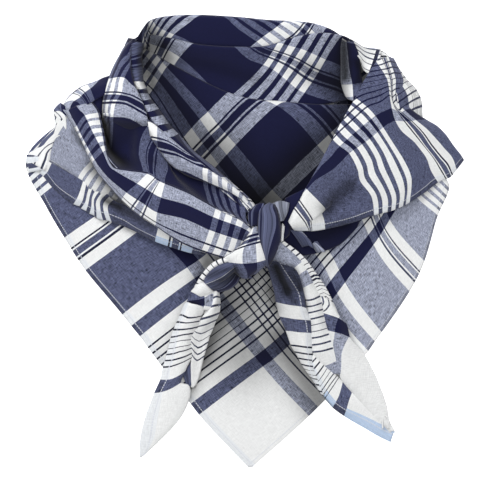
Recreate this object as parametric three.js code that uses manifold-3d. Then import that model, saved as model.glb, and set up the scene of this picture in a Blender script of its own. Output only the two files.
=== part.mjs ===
// A square cotton check kerchief, folded corner to corner into a triangle, tied in front and
// laid down on its back. One piece of cloth: the flat double triangle with its point, three soft
// swags of slack at the nape, a gathered wrap on each side, the knot over the empty neck
// opening and the two free ends lying on the triangle.
//
// Millimetres, +Z up. The charts below are read in chart millimetres: x runs to the right and
// y runs down towards the point, as seen from above.
import * as THREE from 'three';
import Module from 'manifold-3d';

const wasm = await Module();
wasm.setup();

// Driving dimensions
const CLOTH = 2.4;            // thickness of one fold of doubled cloth
const CHART_X = 244.4;        // chart x that lies over the middle of the box
const CHART_Y = 241.65;       // chart y that lies over the middle of the box
const TURN = 3.0;             // radius of a soft turned edge
const ALONG = 1;              // steps between two rows of a chart
const ACROSS = 4;             // steps from one edge of a fold to the other
const LOW = CLOTH / 2;        // lowest middle height, where the cloth lies on the floor
const ON_CLOTH = CLOTH * 1.5 + 0.4; // the same where it lies on the triangle, with a thin gap

// Catmull-Rom interpolation through the rows of a chart
function between(rows, t) {
  const last = rows.length - 1;
  const cell = Math.min(Math.floor(t), last - 1);
  const f = t - cell;
  const at = (i) => rows[Math.max(0, Math.min(last, i))];
  const [a, b, c, d] = [at(cell - 1), at(cell), at(cell + 1), at(cell + 2)];
  return b.map((_, k) => 0.5 * (2 * b[k] + (c[k] - a[k]) * f
    + (2 * a[k] - 5 * b[k] + 4 * c[k] - d[k]) * f * f
    + (3 * b[k] - a[k] - 3 * c[k] + d[k]) * f * f * f));
}

// One section of a fold, from the inside of its left turn to the inside of its right turn.
// A section row holds the left edge, the right edge and how far the crest rises between them.
function section([lx, ly, lz, rx, ry, rz, rise], tuckLeft, tuckRight, radius, low) {
  const wide = Math.hypot(rx - lx, ry - ly) || 1;
  const dx = (rx - lx) / wide;
  const dy = (ry - ly) / wide;
  const line = [];
  const turn = (x, y, z, sign, tuck) => {
    const r = Math.min(radius, wide / 4);
    return [
      [x + sign * dx * (r + tuck), y + sign * dy * (r + tuck), Math.max(low, z - 2 * r - tuck * 0.35)],
      [x, y, Math.max(low, z - r)],
    ];
  };
  if (tuckLeft > 0) line.push(...turn(lx, ly, lz, 1, Math.min(tuckLeft, wide * 0.6)));
  const from = tuckLeft > 0 ? 1 : 0;
  const to = tuckRight > 0 ? ACROSS - 1 : ACROSS;
  for (let i = from; i <= to; i += 1) {
    const turned = Math.PI * i / ACROSS;
    const share = (1 - Math.cos(turned)) / 2;
    line.push([
      lx + (rx - lx) * share,
      ly + (ry - ly) * share,
      Math.max(low, lz + (rz - lz) * share + rise * Math.sin(turned)),
    ]);
  }
  if (tuckRight > 0) line.push(...turn(rx, ry, rz, -1, Math.min(tuckRight, wide * 0.6)).reverse());
  return line;
}

// A closed sheet of even thickness over a grid of points
function sheet(grid, thick, flatUnder = false) {
  const rows = grid.length;
  const cols = grid[0].length;
  const vec = (r, c) => new THREE.Vector3(...grid[r][c]);
  const verts = [];
  const place = (p) => verts.push(p.x, p.y, p.z);
  const tops = [];
  const unders = [];
  for (let r = 0; r < rows; r += 1) {
    for (let c = 0; c < cols; c += 1) {
      const along = vec(Math.min(r + 1, rows - 1), c).sub(vec(Math.max(r - 1, 0), c));
      const over = vec(r, Math.min(c + 1, cols - 1)).sub(vec(r, Math.max(c - 1, 0)));
      const normal = along.cross(over).normalize();
      if (flatUnder) normal.set(0, 0, 1);
      const p = vec(r, c);
      tops.push(p.clone().addScaledVector(normal, thick / 2));
      unders.push(p.clone().addScaledVector(normal, -thick / 2));
    }
  }
  tops.forEach(place);
  unders.forEach(place);
  const n = rows * cols;
  const faces = [];
  const id = (r, c) => r * cols + c;
  for (let r = 0; r < rows - 1; r += 1) {
    for (let c = 0; c < cols - 1; c += 1) {
      const [a, b, d, e] = [id(r, c), id(r, c + 1), id(r + 1, c), id(r + 1, c + 1)];
      faces.push([a, d, b], [b, d, e], [n + a, n + b, n + d], [n + b, n + e, n + d]);
    }
  }
  const rim = [];
  for (let c = 0; c < cols - 1; c += 1) rim.push([id(0, c), id(0, c + 1)]);
  for (let r = 0; r < rows - 1; r += 1) rim.push([id(r, cols - 1), id(r + 1, cols - 1)]);
  for (let c = cols - 1; c > 0; c -= 1) rim.push([id(rows - 1, c), id(rows - 1, c - 1)]);
  for (let r = rows - 1; r > 0; r -= 1) rim.push([id(r, 0), id(r - 1, 0)]);
  rim.forEach(([a, b]) => faces.push([a, b, n + b], [a, n + b, n + a]));
  const solid = new wasm.Manifold(new wasm.Mesh({
    numProp: 3,
    vertProperties: Float32Array.from(verts),
    triVerts: Uint32Array.from(faces.flat()),
  }));
  return solid.volume() < 0 ? null : solid;
}

const toFrame = ([x, y, z]) => [x - CHART_X, CHART_Y - y, z];

// A fold is a chart of sections, lofted and given its thickness
function fold({ tuckLeft = 0, tuckRight = 0, turn = TURN, low = LOW, rows }) {
  const grid = [];
  const steps = (rows.length - 1) * ALONG;
  for (let i = 0; i <= steps; i += 1) {
    const row = between(rows, i / ALONG);
    grid.push(section(row, tuckLeft, tuckRight, turn, low).map(toFrame));
  }
  return sheet(grid, CLOTH);
}

// The double triangle lying on the floor, as pins: cloth distance from the point along the left
// edge (a) and the right edge (b), and where that spot of cloth lies
const PINS = [
  // a, b, x, y, z
  [0, 0, 250, 470, 1.2], [89, 0, 191, 405, 1.2], [158, 0, 148, 349, 1.2], [201, 0, 122, 315, 1.2],
  [258, 0, 85, 271, 1.6], [304, 0, 64, 238, 3.5], [361, 0, 40, 196, 5], [415, 0, 26, 158, 6],
  [0, 82, 313, 413, 1.2], [0, 158, 360, 362, 1.2], [0, 201, 383, 332, 1.6], [0, 258, 410, 292, 4],
  [0, 304, 425, 262, 6], [0, 361, 438, 215, 7], [0, 415, 448, 184, 7],
  [82, 82, 264, 359, 1.2], [201, 82, 192, 265, 1.2], [82, 180, 331, 294, 1.2],
  [82, 258, 371, 241, 3], [82, 304, 388, 216, 5],
  [201, 201, 272, 190, 1.6], [258, 201, 236, 145, 4], [304, 201, 208, 112, 9],
  [361, 201, 166, 67, 15], [304, 158, 183, 138, 6], [361, 158, 153, 90, 11],
  [258, 258, 277, 105, 13], [201, 258, 317, 146, 5], [230, 304, 338, 96, 15],
  [201, 304, 351, 112, 11], [158, 258, 343, 180, 4], [158, 304, 372, 150, 6],
  [415, 90, 70, 110, 8], [90, 385, 412, 165, 8], [415, 190, 136, 42, 14],
];
// The reach of that cloth, a row for each cross line: its left end, middle and right end
const REACH = [
  // aLeft, bLeft, aMiddle, bMiddle, aRight, bRight
  [3, 0, 1.5, 1.5, 0, 3],
  [82, 0, 41, 41, 0, 82],
  [158, 0, 79, 79, 0, 158],
  [225, 0, 112, 112, 0, 225],
  [290, 0, 145, 145, 0, 290],
  [350, 0, 175, 175, 0, 350],
  [415, 0, 207, 207, 0, 415],
  [412, 90, 236, 236, 90, 385],
  [400, 190, 262, 262, 180, 345],
];

// Smooth thin-plate surface through the pins
function pinned(pins) {
  const n = pins.length;
  const size = n + 3;
  const bend = (d2) => (d2 > 1e-9 ? d2 * Math.log(d2) : 0);
  const m = [];
  for (let i = 0; i < size; i += 1) m.push(new Array(size + 3).fill(0));
  for (let i = 0; i < n; i += 1) {
    for (let j = 0; j < n; j += 1) {
      m[i][j] = bend((pins[i][0] - pins[j][0]) ** 2 + (pins[i][1] - pins[j][1]) ** 2);
    }
    [1, pins[i][0], pins[i][1]].forEach((value, k) => {
      m[i][n + k] = value;
      m[n + k][i] = value;
    });
    for (let k = 0; k < 3; k += 1) m[i][size + k] = pins[i][2 + k];
  }
  for (let col = 0; col < size; col += 1) {
    let best = col;
    for (let r = col + 1; r < size; r += 1) {
      if (Math.abs(m[r][col]) > Math.abs(m[best][col])) best = r;
    }
    [m[col], m[best]] = [m[best], m[col]];
    for (let r = 0; r < size; r += 1) {
      if (r === col) continue;
      const f = m[r][col] / m[col][col];
      if (f === 0) continue;
      for (let c = col; c < size + 3; c += 1) m[r][c] -= f * m[col][c];
    }
  }
  return (a, b) => [0, 1, 2].map((k) => {
    const w = (i) => m[i][size + k] / m[i][i];
    let sum = w(n) + w(n + 1) * a + w(n + 2) * b;
    for (let i = 0; i < n; i += 1) sum += w(i) * bend((a - pins[i][0]) ** 2 + (b - pins[i][1]) ** 2);
    return sum;
  });
}

function backPanel() {
  const where = pinned(PINS);
  const grid = [];
  const steps = (REACH.length - 1) * 2;
  const across = 12;
  for (let i = 0; i <= steps; i += 1) {
    const [al, bl, am, bm, ar, br] = between(REACH, i / 2);
    const line = [];
    for (let j = 0; j <= across; j += 1) {
      const s = j / across;
      const wl = (1 - s) * (1 - 2 * s);
      const wm = 4 * s * (1 - s);
      const wr = s * (2 * s - 1);
      const [x, y, z] = where(al * wl + am * wm + ar * wr, bl * wl + bm * wm + br * wr);
      line.push([x, y, Math.max(z, LOW)]);
    }
    grid.push(line);
  }
  const ridge = grid[grid.length - 1];
  const before = grid[grid.length - 2];
  const turned = [[], []];
  ridge.forEach(([x, y, z], j) => {
    const far = Math.hypot(x - before[j][0], y - before[j][1]) || 1;
    const dx = (x - before[j][0]) / far;
    const dy = (y - before[j][1]) / far;
    turned[0].push([x + dx, y + dy, Math.max(LOW, z - TURN)]);
    turned[1].push([x - dx * 14, y - dy * 14, Math.max(LOW, z - 2.6 * TURN)]);
  });
  turned.forEach((line) => grid.push(line));
  return sheet(grid.map((line) => line.map(toFrame)), CLOTH);
}

// The lower layer at the nape, flat on the floor under the swags and wraps
const UNDER = [
  // xLeft, yLeft, xRight, yRight
  [160, 30, 318, 36],
  [134, 52, 366, 60],
  [86, 100, 396, 90],
  [60, 130, 412, 124],
  [48, 165, 436, 168],
  [60, 200, 426, 200],
];

function underLayer() {
  const grid = [];
  UNDER.forEach(([xl, yl, xr, yr]) => {
    const line = [];
    for (let j = 0; j <= 3; j += 1) {
      line.push(toFrame([xl + (xr - xl) * j / 3, yl + (yr - yl) * j / 3, LOW]));
    }
    grid.push(line);
  });
  return sheet(grid, CLOTH, true);
}

// Every other fold, a row for each section: left edge, right edge and rise of the crest
const FOLDS = {
  // swags of slack at the nape; right edge = the soft ridge
  swagMiddle: { tuckLeft: 0, tuckRight: 22, rows: [
    // xLeft, yLeft, zLeft, xRight, yRight, zRight, rise
    [150, 78, 8, 146, 36, 16, 2], [172, 88, 6, 175, 41, 19, 3], [205, 102, 5, 205, 48, 22, 3],
    [240, 114, 5, 240, 49.5, 23, 3], [275, 118, 5, 270, 47.5, 23, 3], [310, 112, 5, 300, 37, 22, 3],
    [335, 108, 6, 330, 34.5, 20, 3], [352, 100, 8, 350, 45, 16, 2]] },
  swagTop: { tuckLeft: 0, tuckRight: 14, turn: 6.5, rows: [
    [146, 54, 8, 150, 21, 14, 3], [170, 62, 7, 168, 17.5, 16, 4], [200, 68, 6, 195, 16.3, 17, 4],
    [235, 70, 6, 235, 19, 17, 4], [270, 68, 6, 275, 22.3, 16, 4], [300, 62, 6, 308, 25, 15, 4],
    [325, 58, 7, 328, 31.5, 14, 3], [338, 62, 8, 341, 37, 13, 2]] },
  // left wrap
  leftLining: { tuckLeft: 0, tuckRight: 12, rows: [
    [131, 42, 24, 144, 44, 20, 2], [129, 60, 26, 141, 60, 20, 4], [134, 81, 30, 142, 80, 22, 4],
    [139, 97, 34, 149, 96, 24, 5], [146, 110, 38, 158, 109, 26, 5], [155, 124, 40, 168, 124, 28, 5],
    [166, 137, 42, 178, 136, 30, 5], [184, 153, 43, 194, 152, 34, 3], [204, 169, 44, 214, 168, 37, 3],
    [222, 183, 46, 232, 184, 40, 3], [240, 197, 48, 250, 200, 42, 3], [250, 208, 50, 258, 212, 44, 2]] },
  leftShoulder: { tuckLeft: 14, tuckRight: 8, rows: [
    [129, 41, 18, 135, 40, 18, 1], [118, 55, 22, 132, 56, 30, 3], [111, 70, 25, 132, 70, 36, 5],
    [107, 82, 27, 134, 82, 40, 7], [104, 100, 28, 141, 100, 44, 9], [103, 119, 26, 147, 121, 45, 7],
    [104, 138, 20, 150, 142, 36, -4], [108, 156, 18, 150, 160, 34, -6], [114, 172, 24, 150, 182, 40, -6]] },
  leftCrease: { tuckLeft: 12, tuckRight: 0, rows: [
    [146, 119, 44, 148, 136, 38, 4], [158, 129, 46, 158, 150, 42, 5], [172, 141, 48, 170, 167, 42, 6],
    [186, 153, 50, 186, 178, 44, 6], [201, 165, 52, 203, 182, 46, 6], [217, 176, 53, 222, 188, 48, 4],
    [238, 191, 51, 240, 198, 49, 2], [248, 205, 49, 251, 211, 48, 2]] },
  leftHollow: { tuckLeft: 0, tuckRight: 0, rows: [
    [149, 134, 36, 145, 184, 36, -6], [160, 150, 38, 164, 192, 38, -9], [174, 165, 38, 187, 202, 40, -11],
    [200, 178, 41, 205, 211, 42, -11], [222, 184, 44, 228, 222, 44, -9], [244, 196, 46, 248, 232, 46, -5]] },
  leftRoll: { tuckLeft: 14, tuckRight: 22, rows: [
    [91, 103, 26, 64, 107, 17, 4], [96, 112, 30, 68, 121, 20, 5], [101, 131, 36, 83, 143, 26, 6],
    [105, 151, 42, 95, 163, 32, 7], [121, 171, 46, 110, 181, 36, 8], [146, 177, 50, 128, 201, 38, 9],
    [165, 185, 54, 157, 223, 40, 10], [190, 196, 56, 180, 237, 42, 10], [215, 209, 56, 203, 249, 44, 9],
    [235, 218, 54, 222, 256, 45, 7], [254, 228, 50, 242, 260, 44, 4]] },
  leftNape: { tuckLeft: 10, tuckRight: 4, turn: 5, rows: [
    [112, 76, 22, 108, 95, 24, 2], [97, 80.5, 18, 102, 102, 24, 3], [83, 88, 16, 93, 106, 26, 4],
    [70, 96, 14, 82, 112, 26, 4], [63, 106, 13, 72, 116, 22, 3]] },
  leftPocket: { tuckLeft: 0, tuckRight: 0, rows: [
    [108, 88, 24, 88, 104, 24, -3], [108, 118, 20, 94, 122, 26, -6], [108, 142, 16, 98, 142, 32, -8],
    [114, 168, 20, 106, 162, 36, -6]] },
  leftEdge: { tuckLeft: 8, tuckRight: 0, turn: 3.5, rows: [
    [64, 104, 13, 76, 116, 20, 3], [54, 111, 10, 70, 124, 20, 5], [55, 126, 9, 66, 134, 18, 5],
    [44, 138, 9, 60, 146, 16, 5], [30, 151, 8, 54, 158, 14, 4], [25, 163, 8, 48, 172, 12, 3]] },
  leftUnderFlap: { tuckLeft: 0, tuckRight: 0, rows: [
    [57, 131, 15, 76, 122, 20, 3], [50, 150, 13, 88, 140, 23, 5], [48, 163, 12, 98, 162, 27, 6],
    [66, 173, 14, 110, 178, 29, 5], [86, 184, 16, 124, 192, 31, 5], [108, 198, 20, 140, 208, 33, 4],
    [130, 213, 24, 156, 222, 36, 2]] },
  leftFlap: { tuckLeft: 0, tuckRight: 0, rows: [
    [36, 158, 8, 52, 152, 12, 2], [45, 172, 6.5, 66, 162, 14, 3], [60, 190, 6, 84, 174, 17, 4],
    [78, 203, 7, 104, 189, 21, 4], [95, 213, 8, 122, 202, 24, 5], [118, 225, 10, 142, 214, 28, 5],
    [150, 239, 13, 164, 224, 33, 4], [175, 247, 18, 186, 236, 36, 3], [192, 252, 24, 204, 246, 40, 1]] },
  // right wrap
  rightLining: { tuckLeft: 10, tuckRight: 0, rows: [
    [341, 37, 16, 356, 40, 18, 2], [342, 55, 17, 364, 54, 24, 4], [342, 75, 18, 372, 70, 28, 5],
    [343, 90, 19, 372, 86, 31, 4], [349, 101, 24, 364, 98, 33, 2], [340, 124, 30, 352, 124, 36, 1]] },
  rightFlap: { tuckLeft: 14, tuckRight: 0, rows: [
    [291, 214, 52, 290, 230, 46, 2], [300, 200, 50, 300, 230.5, 42, 4], [312, 175, 47, 325, 228.5, 33, 6],
    [326, 152, 44, 350, 225, 27, 8], [338, 128, 42, 373, 220, 23, 9], [352, 104, 40, 392, 211, 20, 10],
    [364, 84, 38, 410, 203, 16, 10], [378, 65, 34, 425, 193, 14, 9], [391, 100, 37, 440, 184, 11, 6]] },
  rightNape: { tuckLeft: 8, tuckRight: 0, turn: 4, rows: [
    [345, 38, 11, 352, 54, 20, 2], [356, 42, 11, 360, 64, 24, 3], [366, 48, 11, 368, 74, 28, 4],
    [378, 50, 12, 376, 70, 32, 4], [391, 58, 12, 387, 76, 35, 5], [402, 72, 11, 391, 90, 37, 6],
    [414, 87, 10, 393, 104, 38, 7], [422, 103, 10, 402, 114, 35, 6], [422, 120, 10, 412, 122, 30, 3]] },
  rightShoulder: { tuckLeft: 6, tuckRight: 0, turn: 3.5, rows: [
    [394, 103, 38, 389, 108, 38, 1], [412, 113, 32, 398, 133, 38, 5], [432, 123, 17, 410, 144, 35, 8],
    [449, 138, 10, 421, 157, 30, 8], [455, 151, 8, 429, 174, 23, 7], [464, 160, 7, 440, 184, 11, 4]] },
  rightHollow: { tuckLeft: 0, tuckRight: 0, rows: [
    [276, 226, 44, 278, 248, 40, 2], [300, 218, 38, 301, 252, 26, 3], [322, 214, 28, 322, 252, 12, 3],
    [346, 210, 20, 342, 240, 6, 2], [368, 206, 16, 358, 224, 6, 1]] },
  // knot over the neck opening
  knotTop: { tuckLeft: 8, tuckRight: 8, rows: [
    [265, 205, 56, 274, 205, 56, 1], [259, 217, 62, 279, 220, 60, 6], [258, 232, 64, 281, 236, 61, 9],
    [262, 249, 62, 277, 251, 60, 8], [263, 267, 52, 271, 267, 52, 3]] },
  knotFront: { tuckLeft: 8, tuckRight: 8, rows: [
    [250, 228, 56, 259, 227, 58, 2], [243, 240, 58, 263, 240, 60, 4], [232, 250, 56, 267, 249, 60, 7],
    [226, 257, 54, 268, 258, 58, 8], [233, 267, 50, 266, 266, 54, 7], [243, 277, 44, 254, 276, 46, 3]] },
  knotLeft: { tuckLeft: 6, tuckRight: 6, rows: [
    [224, 258, 48, 238, 260, 50, 2], [210, 267, 44, 240, 270, 48, 5], [204, 278, 38, 236, 281, 42, 6],
    [208, 290, 31, 222, 292, 34, 4]] },
  knotRight: { tuckLeft: 6, tuckRight: 6, rows: [
    [272, 236, 54, 282, 240, 54, 2], [270, 253, 50, 294, 253, 48, 5], [268, 268, 44, 306, 268, 40, 5],
    [272, 282, 36, 316, 280, 32, 4]] },
  // free ends
  leftEndOuter: { tuckLeft: 4, tuckRight: 4, low: ON_CLOTH, rows: [
    [196, 282, 34, 208, 282, 36, 3], [187, 303, 25, 203, 304, 27, 5], [176, 325, 16, 200, 325, 17, 7],
    [168, 348, 10, 192, 348, 11, 7], [164, 370, 6, 190, 368, 8, 7], [157, 388, 4, 190, 392, 5, 6],
    [149, 410, 3, 182, 412, 4, 4], [141, 432, 1.8, 166, 432, 2.4, 2], [139, 451, 1.4, 148, 450, 1.6, 0.6],
    [139.5, 458, 1.3, 142, 456, 1.3, 0.1]] },
  leftEndInner: { tuckLeft: 4, tuckRight: 6, low: ON_CLOTH, rows: [
    [202, 284, 34, 214, 288, 32, 3], [201, 304, 25, 219, 308, 23, 5], [198, 326, 15, 213, 326, 13, 5],
    [190, 350, 9, 205, 350, 8, 5], [188, 370, 6, 199, 371, 5, 4], [186, 386, 4, 192, 387, 4, 2]] },
  rightEndInner: { tuckLeft: 6, tuckRight: 4, low: ON_CLOTH, rows: [
    [266, 262, 44, 280, 262, 46, 2], [272, 280, 31, 294, 284, 37, 3], [277, 300, 20, 306, 304, 26, 5],
    [285, 325, 12, 310, 325, 18, 5], [294, 347, 7, 313, 349, 13, 5], [308, 372, 5, 324, 368, 10, 4],
    [321, 391, 3.6, 338, 382, 8, 3], [334, 407, 2.4, 348, 396, 6, 2], [344, 416.5, 1.6, 356, 406, 4, 2]] },
  rightEndOuter: { tuckLeft: 4, tuckRight: 5, low: ON_CLOTH, rows: [
    [278, 252, 46, 298, 254, 43, 4], [290, 275, 38, 313, 276, 33, 5], [305, 298, 28, 329, 298, 23, 6],
    [309, 318, 19, 345, 320, 13, 7], [312, 340, 14, 356, 341, 7, 8], [320, 362, 10, 369, 364, 4, 8],
    [334, 382, 7, 380, 388, 2.8, 7], [345, 402, 4, 387, 410, 2, 5], [346, 413, 2.4, 392, 428, 1.6, 3],
    [350, 420, 1.6, 394, 440.5, 1.3, 0.4]] },
};

// The charts share edges, so the lofts are joined into one piece of cloth
function joined() {
  let whole = backPanel().add(underLayer());
  for (const [name, chart] of Object.entries(FOLDS)) {
    const one = fold(chart);
    if (one === null) throw new Error(`${name} is inside out`);
    whole = whole.add(one);
  }
  return whole;
}

// Pockets sealed between two folds are filled, so the cloth has one outer skin
function outerSkin(solid) {
  const mesh = solid.getMesh();
  const stride = mesh.numProp;
  const points = mesh.vertProperties;
  const tris = mesh.triVerts;
  const root = Array.from({ length: points.length / stride }, (_, i) => i);
  const find = (i) => {
    let at = i;
    while (root[at] !== at) {
      root[at] = root[root[at]];
      at = root[at];
    }
    return at;
  };
  for (let t = 0; t < tris.length; t += 3) {
    root[find(tris[t])] = find(tris[t + 1]);
    root[find(tris[t + 1])] = find(tris[t + 2]);
  }
  const at = (i) => new THREE.Vector3(points[i * stride], points[i * stride + 1], points[i * stride + 2]);
  const volumes = new Map();
  for (let t = 0; t < tris.length; t += 3) {
    const key = find(tris[t]);
    const share = at(tris[t]).dot(at(tris[t + 1]).cross(at(tris[t + 2]))) / 6;
    volumes.set(key, (volumes.get(key) || 0) + share);
  }
  const keep = [...volumes.entries()].filter(([, volume]) => volume > 0).map(([key]) => key);
  if (keep.length !== 1) throw new Error(`the cloth is in ${keep.length} pieces`);
  const index = [];
  for (let t = 0; t < tris.length; t += 3) {
    if (find(tris[t]) === keep[0]) index.push(tris[t], tris[t + 1], tris[t + 2]);
  }
  const geometry = new THREE.BufferGeometry();
  const position = new Float32Array((points.length / stride) * 3);
  for (let i = 0; i < points.length / stride; i += 1) {
    position.set([points[i * stride], points[i * stride + 1], points[i * stride + 2]], i * 3);
  }
  geometry.setAttribute('position', new THREE.BufferAttribute(position, 3));
  geometry.setIndex(index);
  return geometry;
}

const cloth = new THREE.Mesh(outerSkin(joined()), new THREE.MeshStandardMaterial({ color: 0x3a4058 }));
cloth.name = 'kerchief';
const part = new THREE.Group();
part.name = 'kerchief_part';
part.add(cloth);

export default part;
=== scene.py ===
# A square cotton kerchief in a navy and white check, folded corner to corner, tied in front and
# laid on its back. Charts are in millimetres, x to the right and y down, as seen from above.
# A spot of cloth also has its place on the square, in millimetres from the corner that is the
# triangle's point: a along the left hem and b along the right hem.
import math

import bpy
import numpy as np
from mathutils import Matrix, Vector, noise


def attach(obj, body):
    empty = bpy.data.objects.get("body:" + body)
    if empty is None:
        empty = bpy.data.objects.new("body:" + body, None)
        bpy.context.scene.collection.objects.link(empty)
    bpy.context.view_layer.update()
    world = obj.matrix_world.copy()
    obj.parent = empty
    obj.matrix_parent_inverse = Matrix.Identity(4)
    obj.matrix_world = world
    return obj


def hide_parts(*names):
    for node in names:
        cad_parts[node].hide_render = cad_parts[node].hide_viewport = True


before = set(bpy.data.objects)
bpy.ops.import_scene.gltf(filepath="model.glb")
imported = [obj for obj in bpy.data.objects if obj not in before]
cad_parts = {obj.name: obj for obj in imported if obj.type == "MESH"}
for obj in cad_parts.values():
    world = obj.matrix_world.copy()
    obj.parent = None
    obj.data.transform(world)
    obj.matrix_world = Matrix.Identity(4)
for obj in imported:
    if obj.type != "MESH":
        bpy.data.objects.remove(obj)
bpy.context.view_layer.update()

# The back triangle: the square of soft cotton, folded corner to corner, lies double on the floor
# with its point to the front. Pins give where spots of the cloth lie, and a smooth surface runs
# through them. Its hems are turned under and stitched.
SIDE = 990.0         # side of the square of cloth
THICK = 0.7          # one layer of cloth, with its nap
LAYER = 1.5          # from one layer of a fold down to the next
FLOOR = 0.45         # lowest middle height of a layer
SPACING = 2.9        # mesh size on the layer that shows
HIDDEN = 9.0         # mesh size on the layers under it
PINS = [
    # a, b, x, y, z
    (0, 0, 250, 470, 2), (76, 0, 199, 416, 2), (89, 0, 191, 405, 2), (158, 0, 148, 349, 2),
    (173, 0, 140, 337, 2), (186, 0, 131, 327, 2), (201, 0, 122, 315, 2), (258, 0, 85, 271, 2.4),
    (304, 0, 64, 238, 3.6), (361, 0, 40, 196, 5), (415, 0, 26, 157, 6),
    (0, 76, 309, 417, 2), (0, 89, 318, 408, 2), (0, 158, 360, 362, 2), (0, 173, 369, 352, 2),
    (0, 186, 375, 342, 2), (0, 201, 382, 333, 2.2), (0, 258, 410, 292, 3.8), (0, 304, 425, 262, 5.5),
    (0, 361, 438, 215, 6.5), (0, 415, 449, 182, 6.5),
    (76, 76, 263, 367, 2), (89, 89, 265, 350, 2), (89, 76, 255, 358, 2), (76, 89, 273, 361, 2),
    (201, 76, 187, 268, 2), (201, 89, 198, 261, 2), (186, 76, 194, 279, 2), (258, 62, 135, 234, 2.4),
    (304, 45, 97, 215, 3.4), (82, 180, 331, 294, 2), (82, 193, 338, 284, 2), (82, 258, 371.5, 241, 3.2),
    (82, 304, 388, 216, 5), (101, 190, 328, 266, 2), (201, 201, 272, 190, 2), (258, 201, 236, 145, 4),
    (290, 201, 217, 124, 7), (304, 201, 208, 112, 9), (304, 186, 200, 119, 8), (304, 173, 191, 129, 7),
    (304, 158, 183, 138, 6), (361, 201, 166, 67, 16), (361, 186, 162, 75, 14), (361, 173, 158, 80, 13),
    (361, 158, 153, 90, 12), (258, 258, 277, 105, 13), (201, 258, 317, 146, 5), (272, 272, 275, 96, 15.5),
    (230, 304, 338, 96, 16), (201, 304, 351, 112, 12), (158, 258, 343, 180, 4), (158, 304, 372, 150, 6),
    (415, 90, 70, 110, 8), (90, 385, 412, 165, 8), (415, 190, 136, 42, 15),
]
PIN_SLACK = 400.0    # how far the surface may leave a pin to stay smooth
# How far that cloth reaches, a row for each line across: its left end, middle and right end
REACH = [
    # aLeft, bLeft, aMiddle, bMiddle, aRight, bRight
    (3, 0, 1.5, 1.5, 0, 3), (82, 0, 41, 41, 0, 82), (158, 0, 79, 79, 0, 158), (225, 0, 112, 112, 0, 225),
    (290, 0, 145, 145, 0, 290), (350, 0, 175, 175, 0, 350), (415, 0, 207, 207, 0, 415),
    (412, 90, 236, 236, 90, 385), (400, 190, 262, 262, 180, 345),
]
TRIANGLE_MESH = 6.2      # mesh size from line to line
TRIANGLE_COLUMNS = 104   # mesh points along a line
points = []              # all the cloth's mesh points, in chart millimetres
places = []              # their places (a, b) on the square
faces = []               # and its faces, by the points' numbers


# A thin-plate surface through pins, as a function from places (a, b) to spots (x, y, z)
def thin_plate(pins):
    pins = np.array(pins, float)
    count = len(pins)

    def bend(squares):
        return np.where(squares > 1e-9, squares * np.log(np.maximum(squares, 1e-9)), 0)

    squares = ((pins[:, None, :2] - pins[None, :, :2]) ** 2).sum(-1)
    system = np.zeros((count + 3, count + 3))
    system[:count, :count] = bend(squares) + np.eye(count) * PIN_SLACK
    system[:count, count] = system[count, :count] = 1
    system[:count, count + 1:] = pins[:, :2]
    system[count + 1:, :count] = pins[:, :2].T
    weight = np.linalg.solve(system, np.vstack([pins[:, 2:], np.zeros((3, 3))]))

    def where(ab):
        near = bend(((ab[..., None, :] - pins[:, :2]) ** 2).sum(-1))
        return near @ weight[:count] + weight[count] + ab @ weight[count + 1:]

    return where


# Catmull-Rom interpolation along the first axis of a net, at about even steps
def smooth(net, spacing):
    padded = np.concatenate([net[:1], net, net[-1:]])
    dense = []
    for p, q, r, s in zip(padded, padded[1:], padded[2:], padded[3:]):
        length = np.linalg.norm((r - q)[..., :3], axis=-1).mean()
        steps = max(1, int(round(length / spacing)))
        for k in range(steps):
            f = k / steps
            dense.append(0.5 * (2 * q + (r - p) * f + (2 * p - 5 * q + 4 * r - s) * f * f
                                + (3 * q - p - 3 * r + s) * f ** 3))
    dense.append(net[-1])
    return np.array(dense)


def normals(grid):
    down = np.gradient(grid[..., :3], axis=0)
    across = np.gradient(grid[..., :3], axis=1)
    n = np.cross(down, across)
    n /= np.maximum(np.linalg.norm(n, axis=-1, keepdims=True), 1e-9)
    return n


def normals_up(grid):
    n = normals(grid)
    return -n if np.median(n[..., 2]) < 0 else n


# Raises a soft ridge along a route, or sinks a crease where the height is below zero. It fades
# out towards both ends of the route, and a lower power keeps its full height for longer.
FADE = 0.6


def crease(grid, route, height, width):
    route = np.array(route, float)
    spots = grid[..., :2]
    best = np.full(spots.shape[:2], 1e9)
    share = np.zeros(spots.shape[:2])
    for i, (p, q) in enumerate(zip(route, route[1:])):
        line = q - p
        t = np.clip(((spots - p) @ line) / max(line @ line, 1e-9), 0, 1)
        far = np.linalg.norm(spots - (p + t[..., None] * line), axis=-1)
        nearer = far < best
        best = np.where(nearer, far, best)
        share = np.where(nearer, (i + t) / (len(route) - 1), share)
    fade = np.sin(np.pi * np.clip(share, 0.02, 0.98)) ** FADE
    bump = height * fade * np.exp(-(best / width) ** 2)
    grid[..., :3] += normals_up(grid) * bump[..., None]


# Slight unevenness of soft cotton, the same each time: broad waves with finer ones on them
BROAD = 34           # size of the broad waves
FINER = 13           # size of the finer ones
FINER_SHARE = 0.45


def rumple(grid, amount):
    for r in range(grid.shape[0]):
        for c in range(grid.shape[1]):
            a, b = grid[r, c, 3:]
            broad = noise.noise(Vector((a / BROAD, b / BROAD, 1.7)))
            finer = noise.noise(Vector((a / FINER, b / FINER, 8.1)))
            grid[r, c, 2] += amount * (broad + FINER_SHARE * finer)


# Curls one edge of a net round and under, with the cloth running on: radius of the curl and
# how far the cloth is tucked back under itself
TURN_STEPS = 5       # mesh steps round the curl
TURN_REACH = 0.6     # the curl is pressed, so it stands out less than its radius
TURN_DIP = 0.7       # steepest fall with which a curl may start
TUCK_FALL = 0.25     # fall of the tucked cloth over its length
TUCK_MESH = SPACING * 1.6      # mesh size along the tucked cloth


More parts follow.
